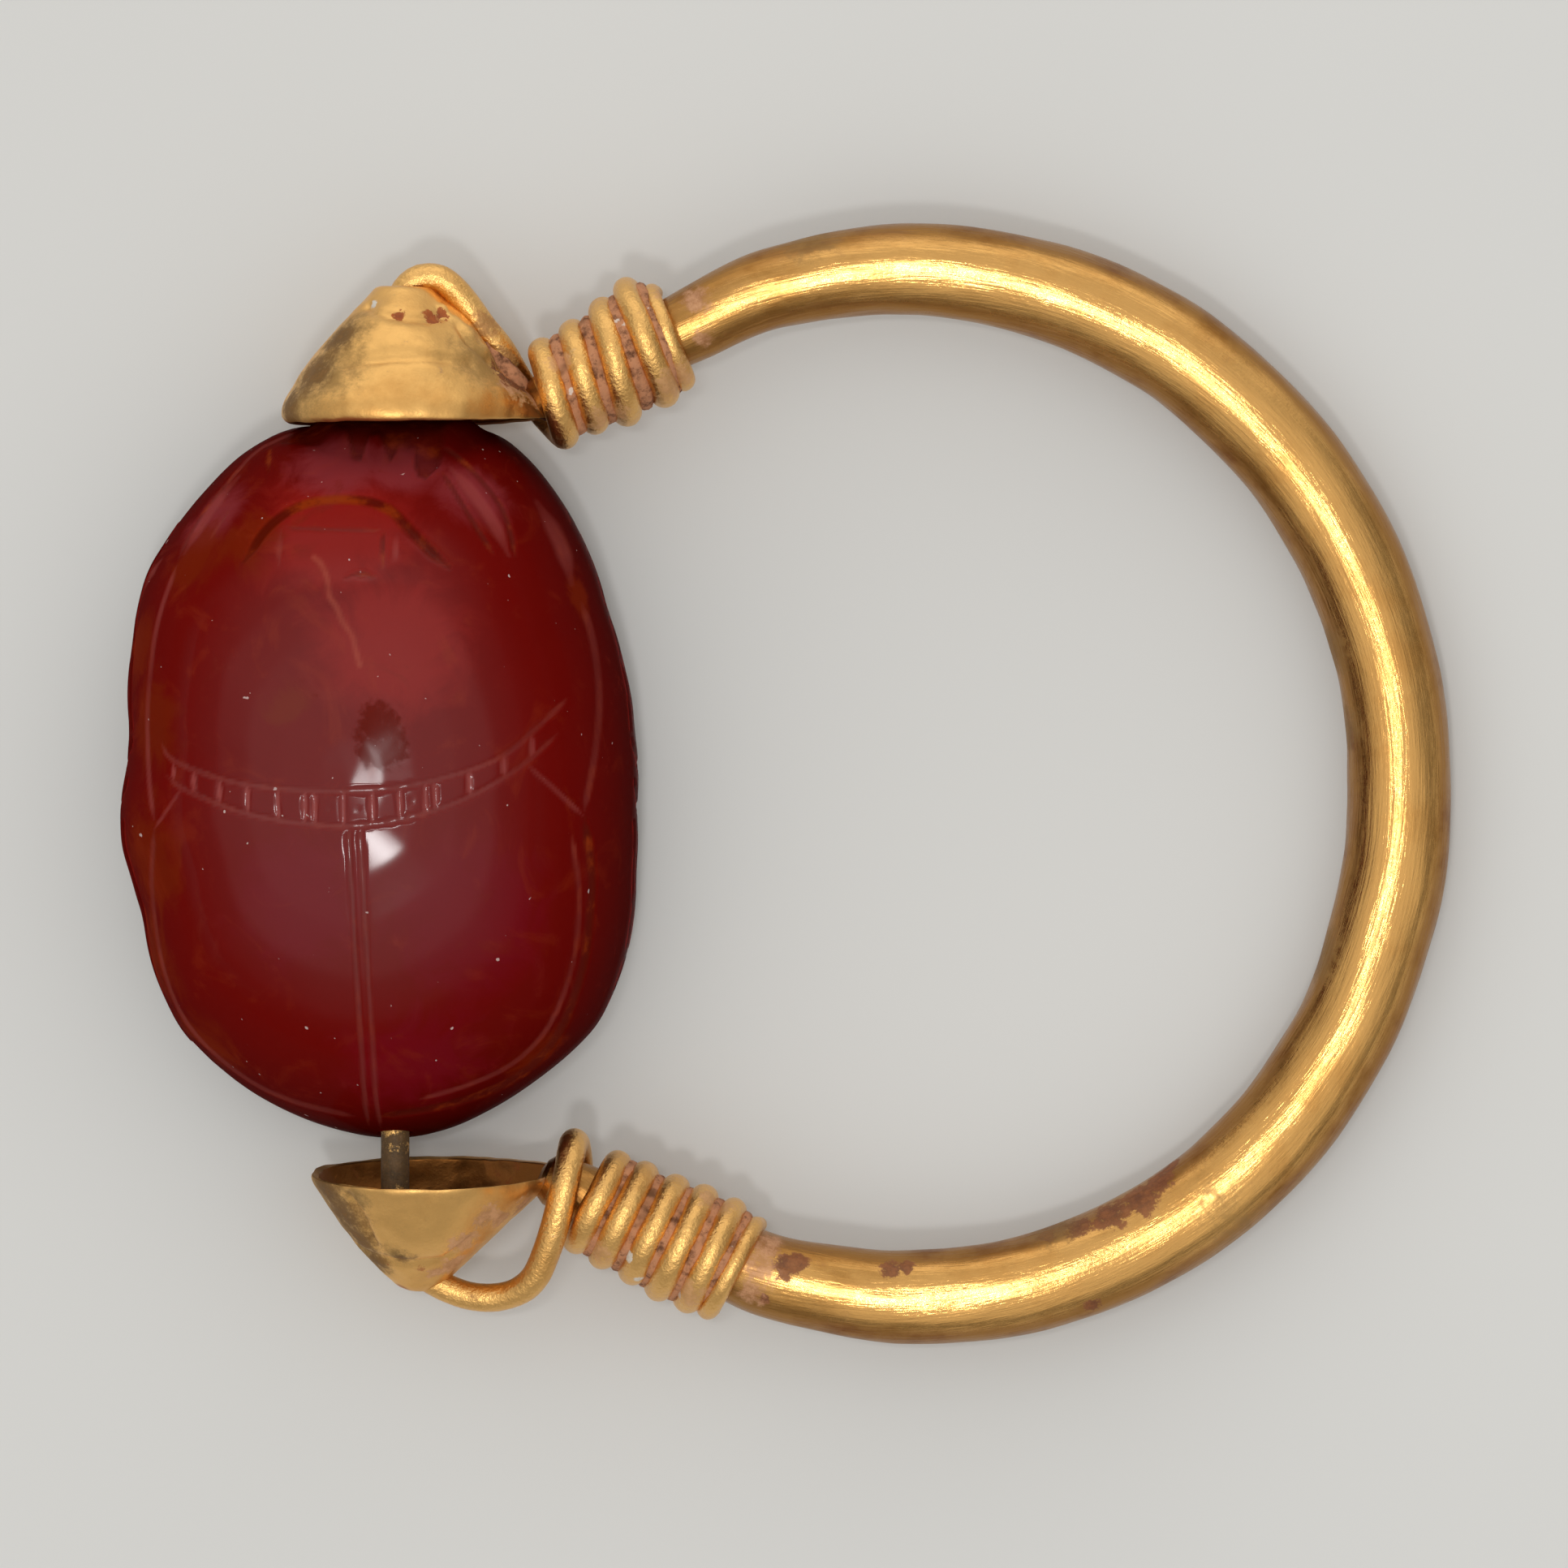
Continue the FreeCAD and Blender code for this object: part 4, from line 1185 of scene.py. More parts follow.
outward = normals_of(beetle)
upright = smooth_step(0.45, 0.75, np.hypot(outward[:, 0], outward[:, 1]))
inward = np.zeros(len(rows))
leg_height = z / np.where(x > 0, RIGHT_LOWER, 1.0)
for places in LEG_LINES:
    near = distance_to(rounded(np.array(places)), y, leg_height)
    inward = np.maximum(inward, LEG_DEPTH * (1 - smooth_step(0.05, LEG_WIDTH, near)))
hand = wobble(rows, 0.7, 21) * 0.025
rows += outward * (hand * smooth_step(0.0, 0.4, z) - inward * upright * (z > 0.3))[:, None]
print("%d lines for the legs" % len(LEG_LINES))

# %% [markdown]
# ### The nose and the values of the stone
#
# The beetle's nose reaches a little into the mouth of the upper cup, so the points round the axle
# there are drawn out. The mesh then carries four values for its material: where a groove gets the
# painted glow, where it is painted pale, where a pale vein runs and where the dark patch lies.

# %% Fit the nose into the mouth of the upper cup
NOSE_REACH = 0.26

from_axle = np.hypot(rows[:, 0], rows[:, 2] - AXIS_HEIGHT)
at_nose = smooth_step(5.9, 6.6, rows[:, 1])
rows[:, 1] += NOSE_REACH * at_nose * (1 - smooth_step(1.25, 1.85, from_axle))
move_points(beetle, rows * MM)
for name, values in (("painted_groove_glow", painted_groove_glow), ("pale_scour_and_highlight", pale_scour_and_highlight), ("vein", vein), ("dark_patch", dark_patch)):
    carry(beetle, name, values * back)
print("nose at y = %.2f mm" % rows[:, 1].max())

# %% [markdown]
# ### The bore
#
# A bow drill went through the bead from end to end, for the wire. Here a cylinder is the drill, and
# a Boolean modifier takes its shape out of the stone.

# %% Drill the bead
BORE_RADIUS, DRILL_LENGTH = 0.345, 16

select_nothing()
bpy.ops.mesh.primitive_cylinder_add(
    vertices=48, radius=BORE_RADIUS * MM, depth=DRILL_LENGTH * MM,
    location=(0, 0, AXIS_HEIGHT * MM), rotation=(math.pi / 2, 0, 0))
drill = bpy.context.object
select_only(beetle)
bore = beetle.modifiers.new("bore", "BOOLEAN")
bore.operation = "DIFFERENCE"
bore.solver = "EXACT"
bore.object = drill
bpy.ops.object.modifier_apply(modifier="bore")
bpy.data.objects.remove(drill)
settle(beetle, "seal", "carnelian", "scarab", lowered=False)


# %% [markdown]
# ## Materials
#
# Every finish is worked out from noise and from places, so nothing is painted or loaded. In the
# shader editor its nodes would be added and joined by hand, and soon be hard to read. Here a small
# class writes shader maths as plain expressions: a term wraps a socket, and the operators add Math
# nodes.

# %% A value in a node tree
class Term:
    """A value that a node gives, for sums and products."""

    def __init__(self, nodes, socket):
        self.nodes, self.socket = nodes, socket

    def __add__(self, other):
        return self.nodes.maths("ADD", self, other)

    def __sub__(self, other):
        return self.nodes.maths("SUBTRACT", self, other)

    def __rsub__(self, other):
        return self.nodes.maths("SUBTRACT", other, self)

    def __mul__(self, other):
        return self.nodes.maths("MULTIPLY", self, other)

    __radd__, __rmul__ = __add__, __mul__


# %% The nodes of a finish
GENERATED, OBJECT = 0, 3


class Nodes:
    """The node tree of a material, or of the world."""

    def __init__(self, owner, coordinates=OBJECT):
        owner.use_nodes = True
        self.owner, self.tree = owner, owner.node_tree
        self.place = self.add("ShaderNodeTexCoord", {}, {})[coordinates]

    def add(self, kind, settings, inputs):
        """Add a node of a type, with its settings first and then what its sockets take."""
        node = self.tree.nodes.new(kind)
        for name, value in settings.items():
            setattr(node, name, value)
        for name, value in inputs.items():
            self.feed(node.inputs[name], value)
        return [Term(self, socket) for socket in node.outputs]

    def feed(self, socket, value):
        """Link a term to a socket, or set the socket to a number or a colour."""
        if isinstance(value, Term):
            self.tree.links.new(value.socket, socket)
        else:
            socket.default_value = value

    def maths(self, operation, *values):
        """A Math node on one or two values."""
        return self.add("ShaderNodeMath", {"operation": operation}, dict(enumerate(values)))[0]

    def noise(self, scale, detail=3.0, roughness=0.5, distortion=0.0, place=None):
        """Noise between 0 and 1; the scale is in waves per millimetre."""
        return self.add("ShaderNodeTexNoise", {}, {
            "Vector": place or self.place, "Scale": scale / MM, "Detail": detail,
            "Roughness": roughness, "Distortion": distortion})[0]

    def parts(self):
        """The three coordinates of the place that is shaded."""
        return self.add("ShaderNodeSeparateXYZ", {}, {0: self.place})

    def between(self, value, low, high, bottom=0.0, top=1.0):
        """The bottom below low, the top above high, and a soft slope between."""
        return self.add("ShaderNodeMapRange", {"interpolation_type": "SMOOTHSTEP"}, {
            "Value": value, "From Min": low, "From Max": high,
            "To Min": bottom, "To Max": top})[0]

    def mix(self, factor, first, second):
        """A colour between two colours."""
        return self.add("ShaderNodeMix", {"data_type": "RGBA"}, {
            0: factor, 6: first, 7: second})[2]

    def attribute(self, name):
        """A value that the mesh carries at its points."""
        return self.add("ShaderNodeAttribute", {"attribute_name": name}, {})[2]

    def near(self, place, radius):
        """1 at a place, in millimetres, and 0 further away than the radius."""
        away = self.add("ShaderNodeVectorMath", {"operation": "DISTANCE"}, {
            0: self.place, 1: tuple(value * MM for value in place)})[1]
        return 1 - self.between(away, 0.0, radius * MM)

    def around(self, spots):
        """1 at some places, each with its radius, and 0 away from them."""
        mask = self.near(*spots[0])
        for place, radius in spots[1:]:
            mask = self.maths("MAXIMUM", mask, self.near(place, radius))
        return mask

    def bump(self, height, strength, depth):
        """The normal of a surface with fine relief, whose depth is in millimetres."""
        return self.add("ShaderNodeBump", {}, {
            "Height": height, "Strength": strength, "Distance": depth * MM})[0]

    def shade(self, sockets):
        """Feed the sockets of the material's shader by their names."""
        shader = self.tree.nodes["Principled BSDF"]
        for name, value in sockets.items():
            self.feed(shader.inputs[name], value)


# %% Colours, and a finish for a piece
def rgb(red, green, blue):
    """A colour as it is seen on screen, made linear."""
    return tuple(((v + 0.055) / 1.055) ** 2.4 if v > 0.04045 else v / 12.92
                 for v in (red, green, blue)) + (1.0,)


def new_finish(name):
    """The nodes of a new material."""
    return Nodes(bpy.data.materials.new(name))


def dress(finish, *pieces):
    """Make a material the only one of some pieces."""
    for piece in pieces:
        piece.data.materials.clear()
        piece.data.materials.append(finish.owner)
    print("%s: %d nodes" % (finish.owner.name, len(finish.tree.nodes)))


# %% [markdown]
# ### Deposits and painted shade on the gold
#
# Pink soil, brown earth, rust, chalk and olive stains lie on the gold where the picture shows them,
# and some spots are painted shade: dark brown on the cups' left sides and beside the loop, the
# olive there and on the rod's edges as well, and near black on the wire in the gap between the bead
# and the lower cup. So their places are pixels once more. A painted texture could show them too,
# but it would have to be stored. Each place is lifted onto the near wall of its cup, or to a height
# over the hoop's plane, and gets a radius. A deposit has two tones, how well it covers and how soft
# its edge is.

# %% Tones of soil, stains, painted shade and the gold
EARTH = (rgb(0.36, 0.16, 0.04), rgb(0.54, 0.30, 0.12))
PINK = (rgb(0.60, 0.39, 0.26), rgb(0.82, 0.61, 0.46))
# olive stains; on the cups' left sides and the rod's edges they also paint shade
OLIVE_STAIN_AND_SHADE = (rgb(0.34, 0.25, 0.07), rgb(0.50, 0.37, 0.13))
# painted shade: dark brown for the cups' left sides and beside the loop
PAINTED_SHADE_BROWN = (rgb(0.25, 0.14, 0.01), rgb(0.45, 0.29, 0.06))
RUST = (rgb(0.48, 0.17, 0.02), rgb(0.66, 0.31, 0.07))
CHALK = (rgb(0.76, 0.72, 0.66), rgb(0.86, 0.84, 0.80))
# near black for the wire in the gap below the bead: grime, partly painted shade
GAP_SHADE_AND_GRIME = (rgb(0.10, 0.055, 0.015), rgb(0.34, 0.23, 0.11))
GOLD, SOFT_GOLD = rgb(0.85, 0.65, 0.375), rgb(0.92, 0.72, 0.43)
# the second tone paints a cup's inner wall: partly painted shade, partly tarnish
DEEP_GOLD, INNER_SHADE_AND_TARNISH_GOLD = rgb(0.72, 0.48, 0.21), rgb(0.68, 0.38, 0.13)
# tones of the hoop's brown sides: film, and painted dark reflection at the rod's edges
BROWN_GOLD, RED_BROWN = rgb(0.50, 0.31, 0.10), rgb(0.42, 0.20, 0.06)


# %% Places of the deposits
def spots(rows, wall=None):
    """Places with radii, from pixels, a radius and, where no wall is given, a height."""
    found = []
    for px, py, radius, *rise in rows:
        place = picture_point(px, py)
        place.z = rise[0] if rise else near_wall(px, py, *wall).z
        found.append((tuple((RING_PLANE @ (place * MM)) / MM), radius))
    return found


# each row: tones, cover, softness, and pixels with a radius and a height in millimetres
HOOP_DEPOSITS_AND_SHADE = [
    (EARTH, 0.92, 0.09, spots([
        (1285, 1512, 0.5, 0.6), (1325, 1500, 0.7, 0.6), (1365, 1490, 0.8, 0.65),
        (1405, 1475, 0.75, 0.6), (1425, 1455, 0.6, 0.5), (1440, 1436, 0.4, 0.3),
        (968, 1556, 0.5, 0.75), (982, 1553, 0.42, 0.75), (1098, 1562, 0.38, 0.75),
        (1115, 1560, 0.3, 0.7), (942, 1598, 0.24, 0.7), (1345, 1603, 0.36, 0.6)])),
    (PINK, 0.7, 0.3, spots([
        (945, 1535, 0.6, 0.5), (935, 1560, 0.6, 0.7), (928, 1590, 0.5, 0.7),
        (858, 372, 0.5, 0.6), (868, 420, 0.35, 0.6)])),
    # olive stains, partly painted dark reflection on the rod's edges
    (OLIVE_STAIN_AND_SHADE, 0.5, 0.3, spots([
        (1300, 1520, 1.0, 0.2), (1500, 1480, 1.2, 0.3), (1640, 800, 0.9, 0.2),
        (1650, 900, 0.9, 0.2), (1640, 1180, 1.0, 0.2), (1000, 300, 1.0, 0.2)])),
]
WIRE_DEPOSITS_AND_SHADE = [
    # the wire between the bead and the lower cup: grime, and painted shade in that gap
    (GAP_SHADE_AND_GRIME, 0.92, 0.1, [((0.0, -7.4, 2.6), 1.5)]),
    (CHALK, 0.95, 0.05, spots([
        (774, 1545, 0.24, 0.85), (790, 1583, 0.26, 0.6), (836, 1592, 0.2, 0.6),
        (772, 402, 0.2, 0.6)])),
    (EARTH, 0.6, 0.2, spots([(600, 400, 0.5, 0.2), (630, 440, 0.6, 0.2), (582, 1595, 0.25, 0.2)])),
    (PINK, 0.55, 0.2, spots([
        (690, 450, 0.4, 0.9), (750, 520, 0.7, 0.8), (830, 470, 0.7, 0.8), (850, 400, 0.5, 0.5),
        (820, 365, 0.5, 0.5), (850, 1590, 0.6, 0.8), (740, 1540, 0.5, 0.7),
        (880, 1480, 0.6, 0.6), (905, 1520, 0.5, 0.6)])),
]
print("%d kinds on the hoop, %d on the wire" % (len(HOOP_DEPOSITS_AND_SHADE), len(WIRE_DEPOSITS_AND_SHADE)))

# %% [markdown]
# Where a cup's deposit has no height of its own, it lies on the near wall, and the table gives only
# its pixels and its radius.

# %% Deposits of the cups
UPPER_DEPOSITS_AND_SHADE = [
    (CHALK, 1.0, 0.02, spots([(457, 376, 0.22)], UPPER_WALL)),
    (RUST, 0.95, 0.03, spots([
        (493, 391, 0.22), (536, 393, 0.32), (545, 390, 0.26)], UPPER_WALL)),
    # olive stains, also painted shade on the cup's left side
    (OLIVE_STAIN_AND_SHADE, 0.7, 0.5, spots([
        (372, 490, 1.2), (405, 460, 1.3), (590, 450, 1.1), (425, 415, 1.0)], UPPER_WALL)),
    # painted shade on the cup's left side and beside the loop
    (PAINTED_SHADE_BROWN, 0.8, 0.35, spots([
        (358, 500, 0.7), (390, 462, 0.9), (420, 420, 0.7), (606, 446, 0.5)], UPPER_WALL)),
    (PINK, 0.8, 0.12, spots([(628, 480, 0.6, 0.6), (650, 490, 0.45, 0.3)])),
    (EARTH, 0.95, 0.04, spots([(622, 462, 0.55, 0.5), (640, 470, 0.5, 0.3)])),
]
LOWER_DEPOSITS_AND_SHADE = [
    # olive stains, also painted shade on the cup's left side
    (OLIVE_STAIN_AND_SHADE, 0.8, 0.5, spots([
        (400, 1462, 1.2), (420, 1505, 1.3), (450, 1550, 0.9), (490, 1545, 0.4),
        (445, 1470, 0.5)], LOWER_WALL)),
    # painted shade along the cup's left side and its foot
    (PAINTED_SHADE_BROWN, 0.85, 0.4, spots([
        (408, 1464, 0.8), (428, 1494, 1.0), (447, 1528, 0.8), (466, 1556, 0.5),
        (500, 1552, 0.4)], LOWER_WALL)),
    (PINK, 0.75, 0.14, spots([
        (600, 1500, 0.6), (575, 1530, 0.6), (560, 1560, 0.5), (540, 1572, 0.4),
        (640, 1480, 0.5, 0.5), (620, 1500, 0.5, 0.8), (676, 1440, 0.6, 0.3),
        (690, 1450, 0.6, 0.0)], LOWER_WALL)),
    (RUST, 0.7, 0.1, spots([
        (520, 1566, 0.24), (478, 1560, 0.1), (600, 1440, 0.9, -0.6), (540, 1436, 0.9, -1.2),
        (460, 1436, 0.8, -0.9)], LOWER_WALL)),
]
print("%d and %d kinds on the cups" % (len(UPPER_DEPOSITS_AND_SHADE), len(LOWER_DEPOSITS_AND_SHADE)))

# %% [markdown]
# ### Old gold
#
# Gold of this age is pale and soft: its skin is a little etched, with a faint brown film, and
# brighter where it was rubbed. The hoop is the smoothest, with hairlines along it from long use.
# Its inner and outer sides are brown, partly a film that no finger reached and partly painted dark
# reflection, where polished gold would mirror dim surroundings. The cups and the wire are duller.
# A deposit isn't metal, nor is a spot of painted shade, so wherever one covers the gold it takes
# away the metal's shine as well.

# %% Sides of the rod, and deposits over the gold
RING_UP = (RING_PLANE.to_3x3() @ FRONT).normalized()


def along_hoop(nodes, squeeze):
    """A place whose way along the hoop is squeezed, so that noise there runs in hairlines."""
    x, y, z = nodes.parts()
    x = x - HOOP_CENTRE * MM
    turn = nodes.maths("ARCTAN2", y, x)
    away = nodes.maths("SQRT", x * x + y * y)
    along = turn * (HOOP_RADIUS * MM * squeeze)
    return nodes.add("ShaderNodeCombineXYZ", {}, {0: away, 1: along, 2: z})[0]


def film_and_painted_dark_edges(nodes, film, colour):
    """How far brown film and painted dark edges cover the rod's sides, and the gold with them."""
    x, y, z = nodes.parts()
    rise = x * RING_UP.x + y * RING_UP.y + z * RING_UP.z - RING_UP.dot(RING_PLANE.translation)
    streaks = nodes.noise(2.6, 6.0, 0.7, place=along_hoop(nodes, 0.25))
    ragged_rise = nodes.maths("ABSOLUTE", rise) + (streaks - 0.5) * 0.5 * MM
    # the sides of the rod: partly brown film, partly painted dark reflection
    sides = nodes.between(ragged_rise, 0.88 * MM, 0.56 * MM)
    brown = nodes.mix(nodes.between(streaks, 0.46, 0.62), BROWN_GOLD, RED_BROWN)
    return sides, nodes.mix(sides * (film * 0.25 + 0.62), colour, brown)


def covered(nodes, colour, deposits_and_shade):
    """The colour with its crumbly crusts and spots of painted shade, and how far they cover the
    gold.
    """
    crumbs = nodes.noise(3.6, 8.0, 0.75)
    cover = None
    for tones, hold, soft, places in deposits_and_shade:
        patch = nodes.around(places)
        ragged = patch * 0.8 + (crumbs - 0.5) * 2.4
        inside = nodes.between(patch, 0.0, 0.3) * 0.85 + 0.15
        ragged = nodes.between(ragged, 0.36 - soft, 0.42 + soft) * inside * hold
        tone = nodes.mix(nodes.between(crumbs, 0.35, 0.65), *tones)
        colour = nodes.mix(ragged, colour, tone)
        cover = nodes.maths("MAXIMUM", cover, ragged) if cover else ragged
    return colour, cover


# %% Gold of the hoop, the sheet and the wire
def old_gold(name, pale, smoothness, deposits_and_shade, grain_depth, strength, hairlines=0.0):
    """Gold with a faint brown film, fine grain, crusts, painted shade, and hairlines where rubbed.
    """
    nodes = new_finish(name)
    film = nodes.between(nodes.noise(0.6, 5.0, 0.62), 0.48, 0.72)
    fine = nodes.noise(7.0, 4.0, 0.65)
    colour = nodes.mix(film * 0.35, pale, DEEP_GOLD)
    # a cup's inner wall is painted browner: partly painted shade, partly tarnish
    inner = nodes.attribute("inner_shade_and_tarnish") * (film * 0.2 + 0.75)
    colour = nodes.mix(inner, colour, INNER_SHADE_AND_TARNISH_GOLD)
    rough = fine * 0.16 + film * 0.06 + smoothness
    grain = fine * 0.7 + nodes.noise(18.0, 2.0) * 0.3
    if hairlines:
        # only the hoop gets hairlines and brown sides, which are partly painted dark reflection
        sides, colour = film_and_painted_dark_edges(nodes, film, colour)
        lines = nodes.noise(16.0, 3.0, 0.6, place=along_hoop(nodes, 0.05))
        rough = rough + sides * 0.12 + nodes.between(lines, 0.5, 0.75) * hairlines
        grain = grain * 0.6 + lines * 0.9
    colour, cover = covered(nodes, colour, deposits_and_shade)
    nodes.shade({"Base Color": colour, "Roughness": rough + cover * 0.35, "Metallic": 1 - cover,
                 "Normal": nodes.bump(grain, strength, grain_depth)})
    return nodes


dress(old_gold("hammered_gold", GOLD, 0.10, HOOP_DEPOSITS_AND_SHADE, 0.03, 0.4, hairlines=0.18), hoop)
dress(old_gold("upper_sheet_gold", SOFT_GOLD, 0.32, UPPER_DEPOSITS_AND_SHADE, 0.03, 0.4), upper_cup)
dress(old_gold("lower_sheet_gold", SOFT_GOLD, 0.34, LOWER_DEPOSITS_AND_SHADE, 0.03, 0.4), lower_cup)
dress(old_gold("wire_gold", SOFT_GOLD, 0.24, WIRE_DEPOSITS_AND_SHADE, 0.08, 0.5), wire)

# %% [markdown]
# ### Soil
#
# Dry soil is dull and grainy. Three noises mix its colours, from coarse to fine: dark and pinkish
# earth, damp patches and a few grains of chalk. The coarse one also lifts the surface.

# %% Packed soil
soil = new_finish("packed_soil")
grains = soil.noise(4.0, 5.0, 0.7)
patches = soil.between(soil.noise(1.1, 3.0), 0.56, 0.70)
chalk_grains = soil.between(soil.noise(2.4, 3.0), 0.68, 0.71)
colour = soil.mix(soil.between(grains, 0.30, 0.55), rgb(0.36, 0.20, 0.10), rgb(0.74, 0.51, 0.36))
colour = soil.mix(patches, colour, rgb(0.42, 0.26, 0.14))
colour = soil.mix(chalk_grains, colour, rgb(0.84, 0.76, 0.70))
soil.shade({"Base Color": colour, "Roughness": 0.9, "Normal": soil.bump(grains, 0.8, 0.05)})
dress(soil, upper_soil, lower_soil, loop_soil)

# %% [markdown]
# ### Carnelian
#
# The stone is a deep red chalcedony with orange clouds where more light comes through, mostly at
# the flanks. Its red is painted darker towards the base, as painted shade, and pale pink, lilac and
# violet clouds on the crown and the head are painted sheen, the soft light mirrored there. A glass
# shader would be true to it, but grainy and slow. Light that enters the stone and leaves again
# nearby is what subsurface scattering gives. The polish, which the flanks have lost, is a thin coat
# over the crown.

# %% Body of the stone, its painted shade and sheen, and its clouds
# the darker and the brighter red of the painted light and shade by height
DARK_RED, RED = rgb(0.24, 0.010, 0.003), rgb(0.42, 0.045, 0.03)
# painted sheen: the soft light mirrored on the polished stone
PAINTED_SHEEN_PINK, PAINTED_SHEEN_LILAC = rgb(0.54, 0.11, 0.09), rgb(0.50, 0.175, 0.19)
PAINTED_SHEEN_VIOLET, ORANGE = rgb(0.44, 0.05, 0.10), rgb(0.43, 0.11, 0.02)
# each row: colour, amount, raggedness, and places with their radii in millimetres
CLOUDS_AND_PAINTED_SHEEN = [
    # painted sheen in the middle of the crown
    (PAINTED_SHEEN_PINK, 0.75, 1.1, [((-0.8, 4.6, 5.4), 2.6), ((0.4, 2.6, 6.4), 2.3)]),
    # painted sheen on the head
    (PAINTED_SHEEN_LILAC, 0.75, 1.0, [
        ((-0.9, 6.0, 4.4), 1.5), ((0.4, 6.0, 4.4), 1.3), ((1.6, 5.3, 4.5), 1.3),
        ((-3.2, 5.0, 4.2), 1.3)]),
    # painted sheen on the wing cases, round the lower highlight
    (PAINTED_SHEEN_VIOLET, 0.65, 1.4, [
        ((1.8, -2.6, 6.2), 2.6), ((0.6, -4.8, 4.6), 2.4), ((-1.4, -2.2, 6.3), 2.2)]),
    # the stone's own orange clouds
    (ORANGE, 0.8, 1.8, [
        ((-3.4, 4.2, 4.6), 1.3), ((-2.4, 4.5, 5.2), 1.3), ((-4.6, 2.6, 3.8), 1.2),
        ((-4.3, 1.2, 4.8), 1.5), ((-4.2, -1.4, 4.6), 1.9), ((-4.0, -3.2, 3.6), 1.6),
        ((-3.2, -4.6, 3.4), 1.5), ((3.8, 3.6, 3.6), 0.7), ((2.6, -5.0, 3.2), 1.2),
        ((-1.6, 1.4, 6.7), 0.7)]),
]

stone = new_finish("carnelian_red")
wisps = stone.noise(0.75, 6.0, 0.65, 1.6)
height = stone.parts()[2]
# painted shade: the red darkens towards the base of the bead
painted_light_by_height = stone.between(height, 1.2 * MM, 6.2 * MM)
colour = stone.mix(painted_light_by_height, DARK_RED, RED)
for shade, amount, raggedness, places in CLOUDS_AND_PAINTED_SHEEN:
    tint_mask = stone.between(stone.around(places) + (wisps - 0.5) * raggedness, 0.1, 0.75)
    colour = stone.mix(tint_mask * amount, colour, shade)
print("%d kinds of clouds" % len(CLOUDS_AND_PAINTED_SHEEN))

# %% [markdown]
# ### Veins and grooves
#
# Fine veins run through the stone. The grooves take their painted glow, glints and pale paint from
# the values that the mesh carries, because a place on the surface knows best whether it was cut.

# %% Veins and grooves of the stone
# painted glow in a groove: dark orange-brown with painted glints
GROOVE_DARK, GROOVE_GLINT = rgb(0.32, 0.055, 0.01), rgb(0.56, 0.20, 0.03)
VEIN_RED, PALE_GROOVE_PINK, PALE_VEIN = rgb(0.56, 0.19, 0.08), rgb(0.64, 0.30, 0.28), rgb(0.64, 0.30, 0.22)

# the veins fade towards the base with the painted light
streaks = stone.between(stone.noise(0.5, 5.0, 0.6, 2.2), 0.54, 0.70) * painted_light_by_height
colour = stone.mix(streaks * 0.22, colour, VEIN_RED)
glint = stone.between(stone.noise(1.4, 4.0, 0.6), 0.47, 0.68)
colour = stone.mix(stone.attribute("painted_groove_glow") * 0.9, colour,
                   stone.mix(glint, GROOVE_DARK, GROOVE_GLINT))
# pale paint in grooves: sand scouring, and painted highlight on edges that catch the light
paleness = stone.attribute("pale_scour_and_highlight") * (stone.noise(0.30, 4.0, 0.55, 0.5) * 0.9 - 0.12)
colour = stone.mix(paleness, colour, PALE_GROOVE_PINK)
colour = stone.mix(stone.attribute("vein") * (wisps * 0.8), colour, PALE_VEIN)
print("grooves are amber or worn, and a pale vein crosses the head")

# %% [markdown]
# ### Dark patch, dust and polish
#
# A dark brown patch lies beside the middle line. White dust sticks in tiny specks. The coat over
# the crown is the polish; it is thinner where the dark patch lies and nearly gone on the flanks.

# %% Dark patch, dust and polish of the stone
scuffs = stone.noise(7.0, 3.0, 0.6)
dark_patch_mask = stone.attribute("dark_patch") + (wisps - 0.5) * 1.2 + (scuffs - 0.5) * 1.6
dark_patch_mask = stone.between(dark_patch_mask, 0.25, 0.95)
colour = stone.mix(dark_patch_mask * 0.75, colour, rgb(0.36, 0.07, 0.015))
dust = stone.between(stone.noise(4.6, 2.0, 0.5), 0.75, 0.77)
colour = stone.mix(dust * 0.75, colour, rgb(0.80, 0.70, 0.68))
crown = stone.between(height, 5.4 * MM, 6.9 * MM)
low_flank = stone.between(height, 2.4 * MM, 1.4 * MM)
polish = crown * 0.6 + low_flank * 0.2 + 0.02
stone.shade({
    "Base Color": colour,
    "Roughness": scuffs * 0.16 + dust * 0.4 + 0.14,
    "Normal": stone.bump(scuffs, 0.06, 0.01),
    "Subsurface Weight": 0.3,
    "Subsurface Radius": (1.0, 0.2, 0.1),
    "Subsurface Scale": 0.001,
    "Specular IOR Level": 0.0,
    "Coat Weight": polish * (1 - dark_patch_mask * 0.7),
    "Coat Roughness": 0.15,
})
dress(stone, beetle)

# %% [markdown]
# ## Floor and light
#
# The ring lies on a pale, nearly even floor, just below its lowest point. It belongs to the stage
# and not to the ring.

# %% Floor
FLOOR_SIZE, FLOOR_GAP = 1.2, 0.02

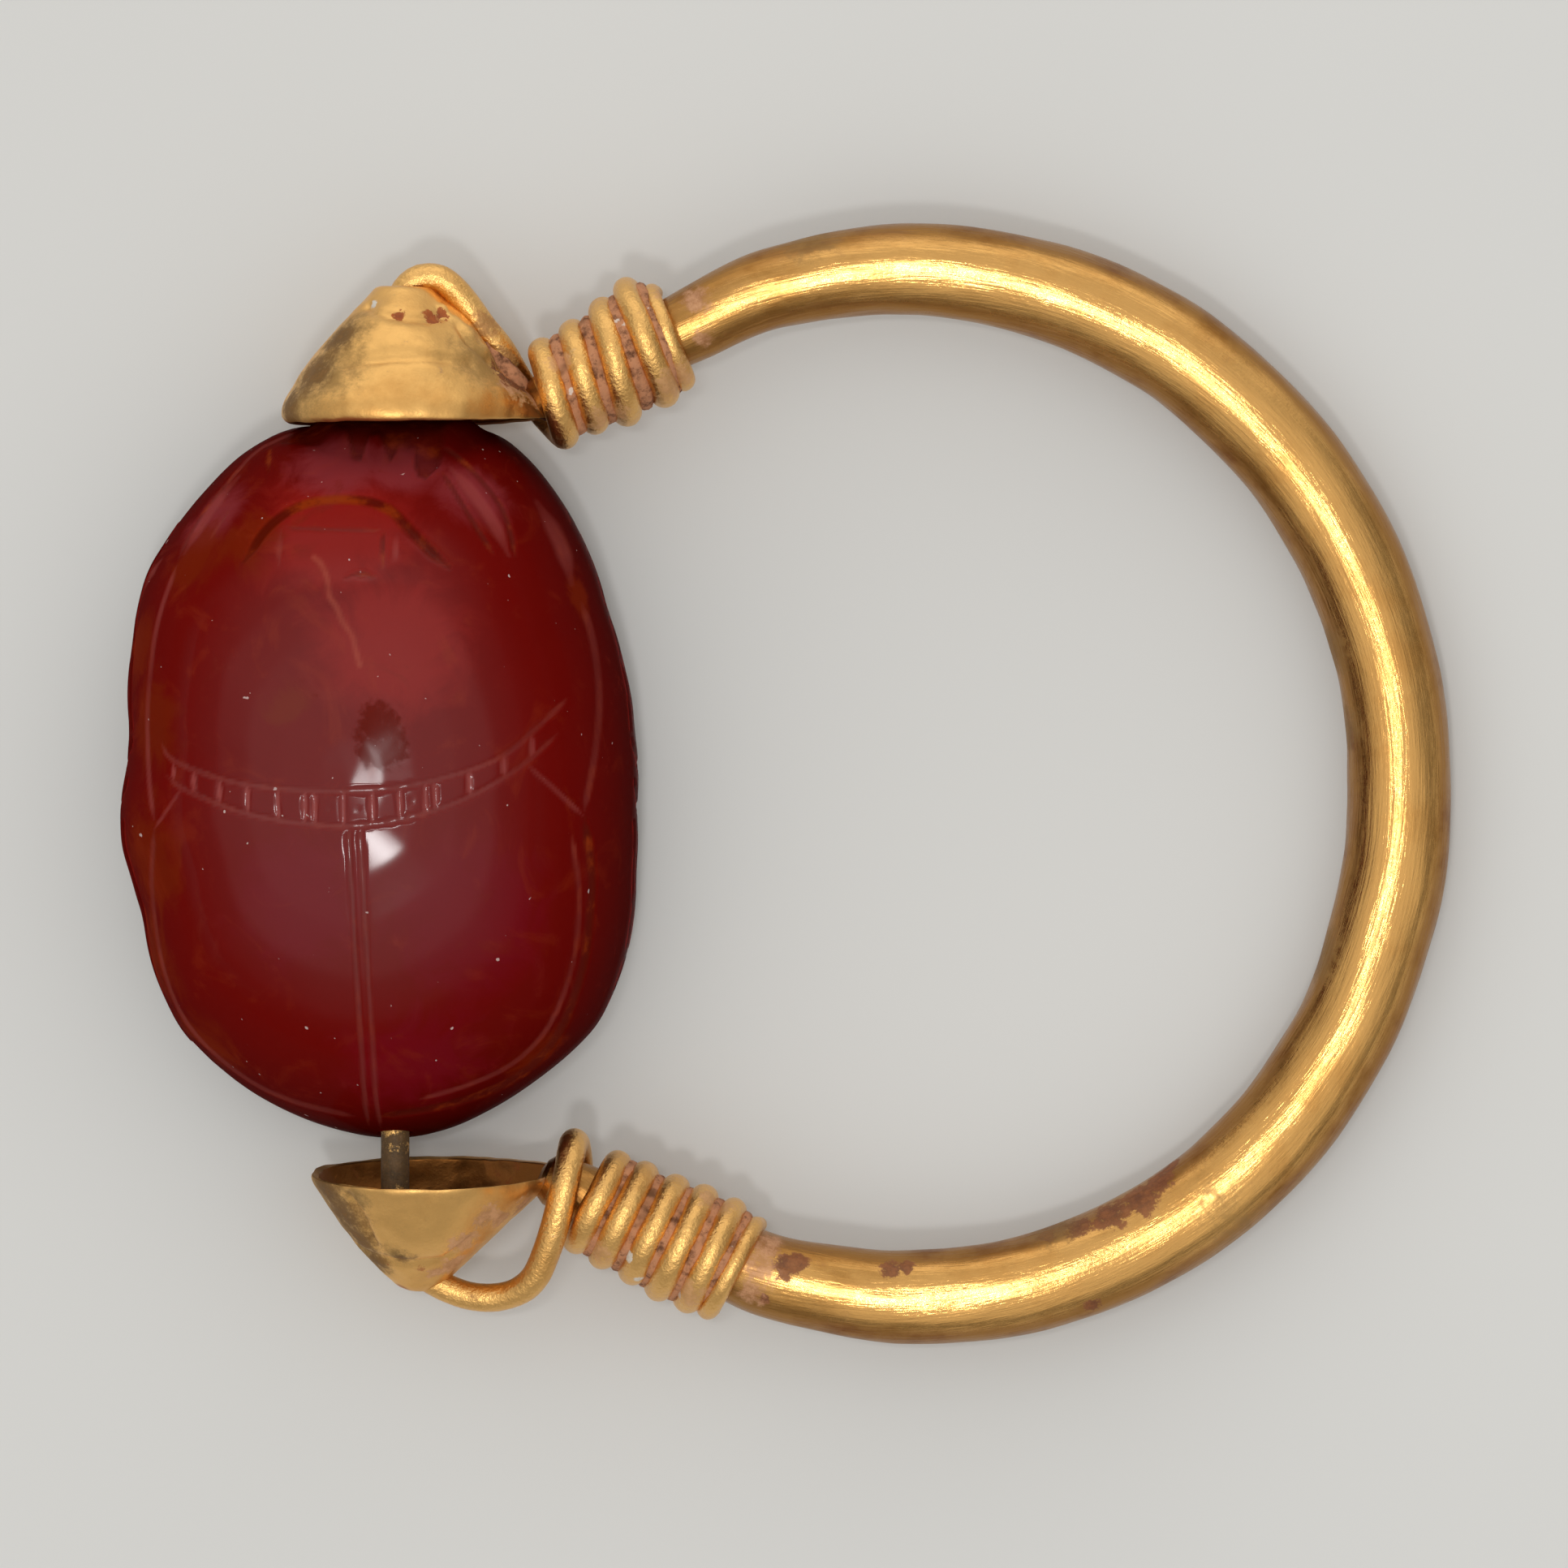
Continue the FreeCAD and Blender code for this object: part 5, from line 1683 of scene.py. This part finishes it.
select_nothing()
bpy.ops.mesh.primitive_plane_add(size=FLOOR_SIZE, location=(0, 0, -FLOOR_GAP * MM))
floor = bpy.context.object
floor.name = "floor"
pale = new_finish("pale_floor")
colour = pale.mix(pale.noise(0.05, 2.0), rgb(0.82, 0.82, 0.81), rgb(0.84, 0.84, 0.83))
pale.shade({"Base Color": colour, "Roughness": 0.8})
dress(pale, floor)


# %% [markdown]
# ### Two small lamps
#
# Gold shows mostly what it mirrors. Two small area lamps near the camera give the bright lines
# along the rod and the two highlights on the crown of the beetle. Point lamps would give hard
# sparks.

# %% Lamps
def soft_lamp(name, shape, place, width, depth, power):
    """A wide lamp that faces the ring."""
    select_nothing()
    bpy.ops.object.light_add(type="AREA", location=place)
    lamp = bpy.context.object
    lamp.name = name
    lamp.data.shape = shape
    lamp.data.size, lamp.data.size_y = width, depth
    lamp.data.energy = power
    back = Vector(place).normalized()
    across = (Vector((1, 0, 0)) - back * back.x).normalized()
    lamp.rotation_euler = Matrix((across, back.cross(across), back)).transposed().to_euler()
    print("%s: %.2f W" % (name, power))


soft_lamp("upper_lamp", "RECTANGLE", (0.012, 0.016, 0.36), 0.055, 0.014, 0.12)
soft_lamp("lower_lamp", "ELLIPSE", (0.012, -0.080, 0.36), 0.034, 0.032, 0.16)

# %% [markdown]
# ### A tent of white cloth
#
# The rest of the light comes from all around, as in a photographer's tent: bright overhead and dim
# at its sides, which gives gold its dark edges. Its far wall is brighter, and the upper side of the
# rod mirrors it. A world that depends on the direction does this without any cloth.

# %% Tent
TENT_WHITE = (1.0, 0.985, 0.96, 1)

world = bpy.data.worlds.new("tent")
bpy.context.scene.world = world
sky = Nodes(world, GENERATED)
_, away, up = sky.parts()
overhead = sky.between(up, 0.15, 0.92, bottom=0.28, top=0.92)
far_wall = sky.between(away, 0.45, 0.95, top=1.1) * sky.between(up, 0.75, 0.25)
background = sky.tree.nodes["Background"]
sky.feed(background.inputs["Strength"], far_wall + overhead)
sky.feed(background.inputs["Color"], TENT_WHITE)
bpy.context.scene.view_settings.view_transform = "Standard"
print("tent of %d nodes" % len(sky.tree.nodes))
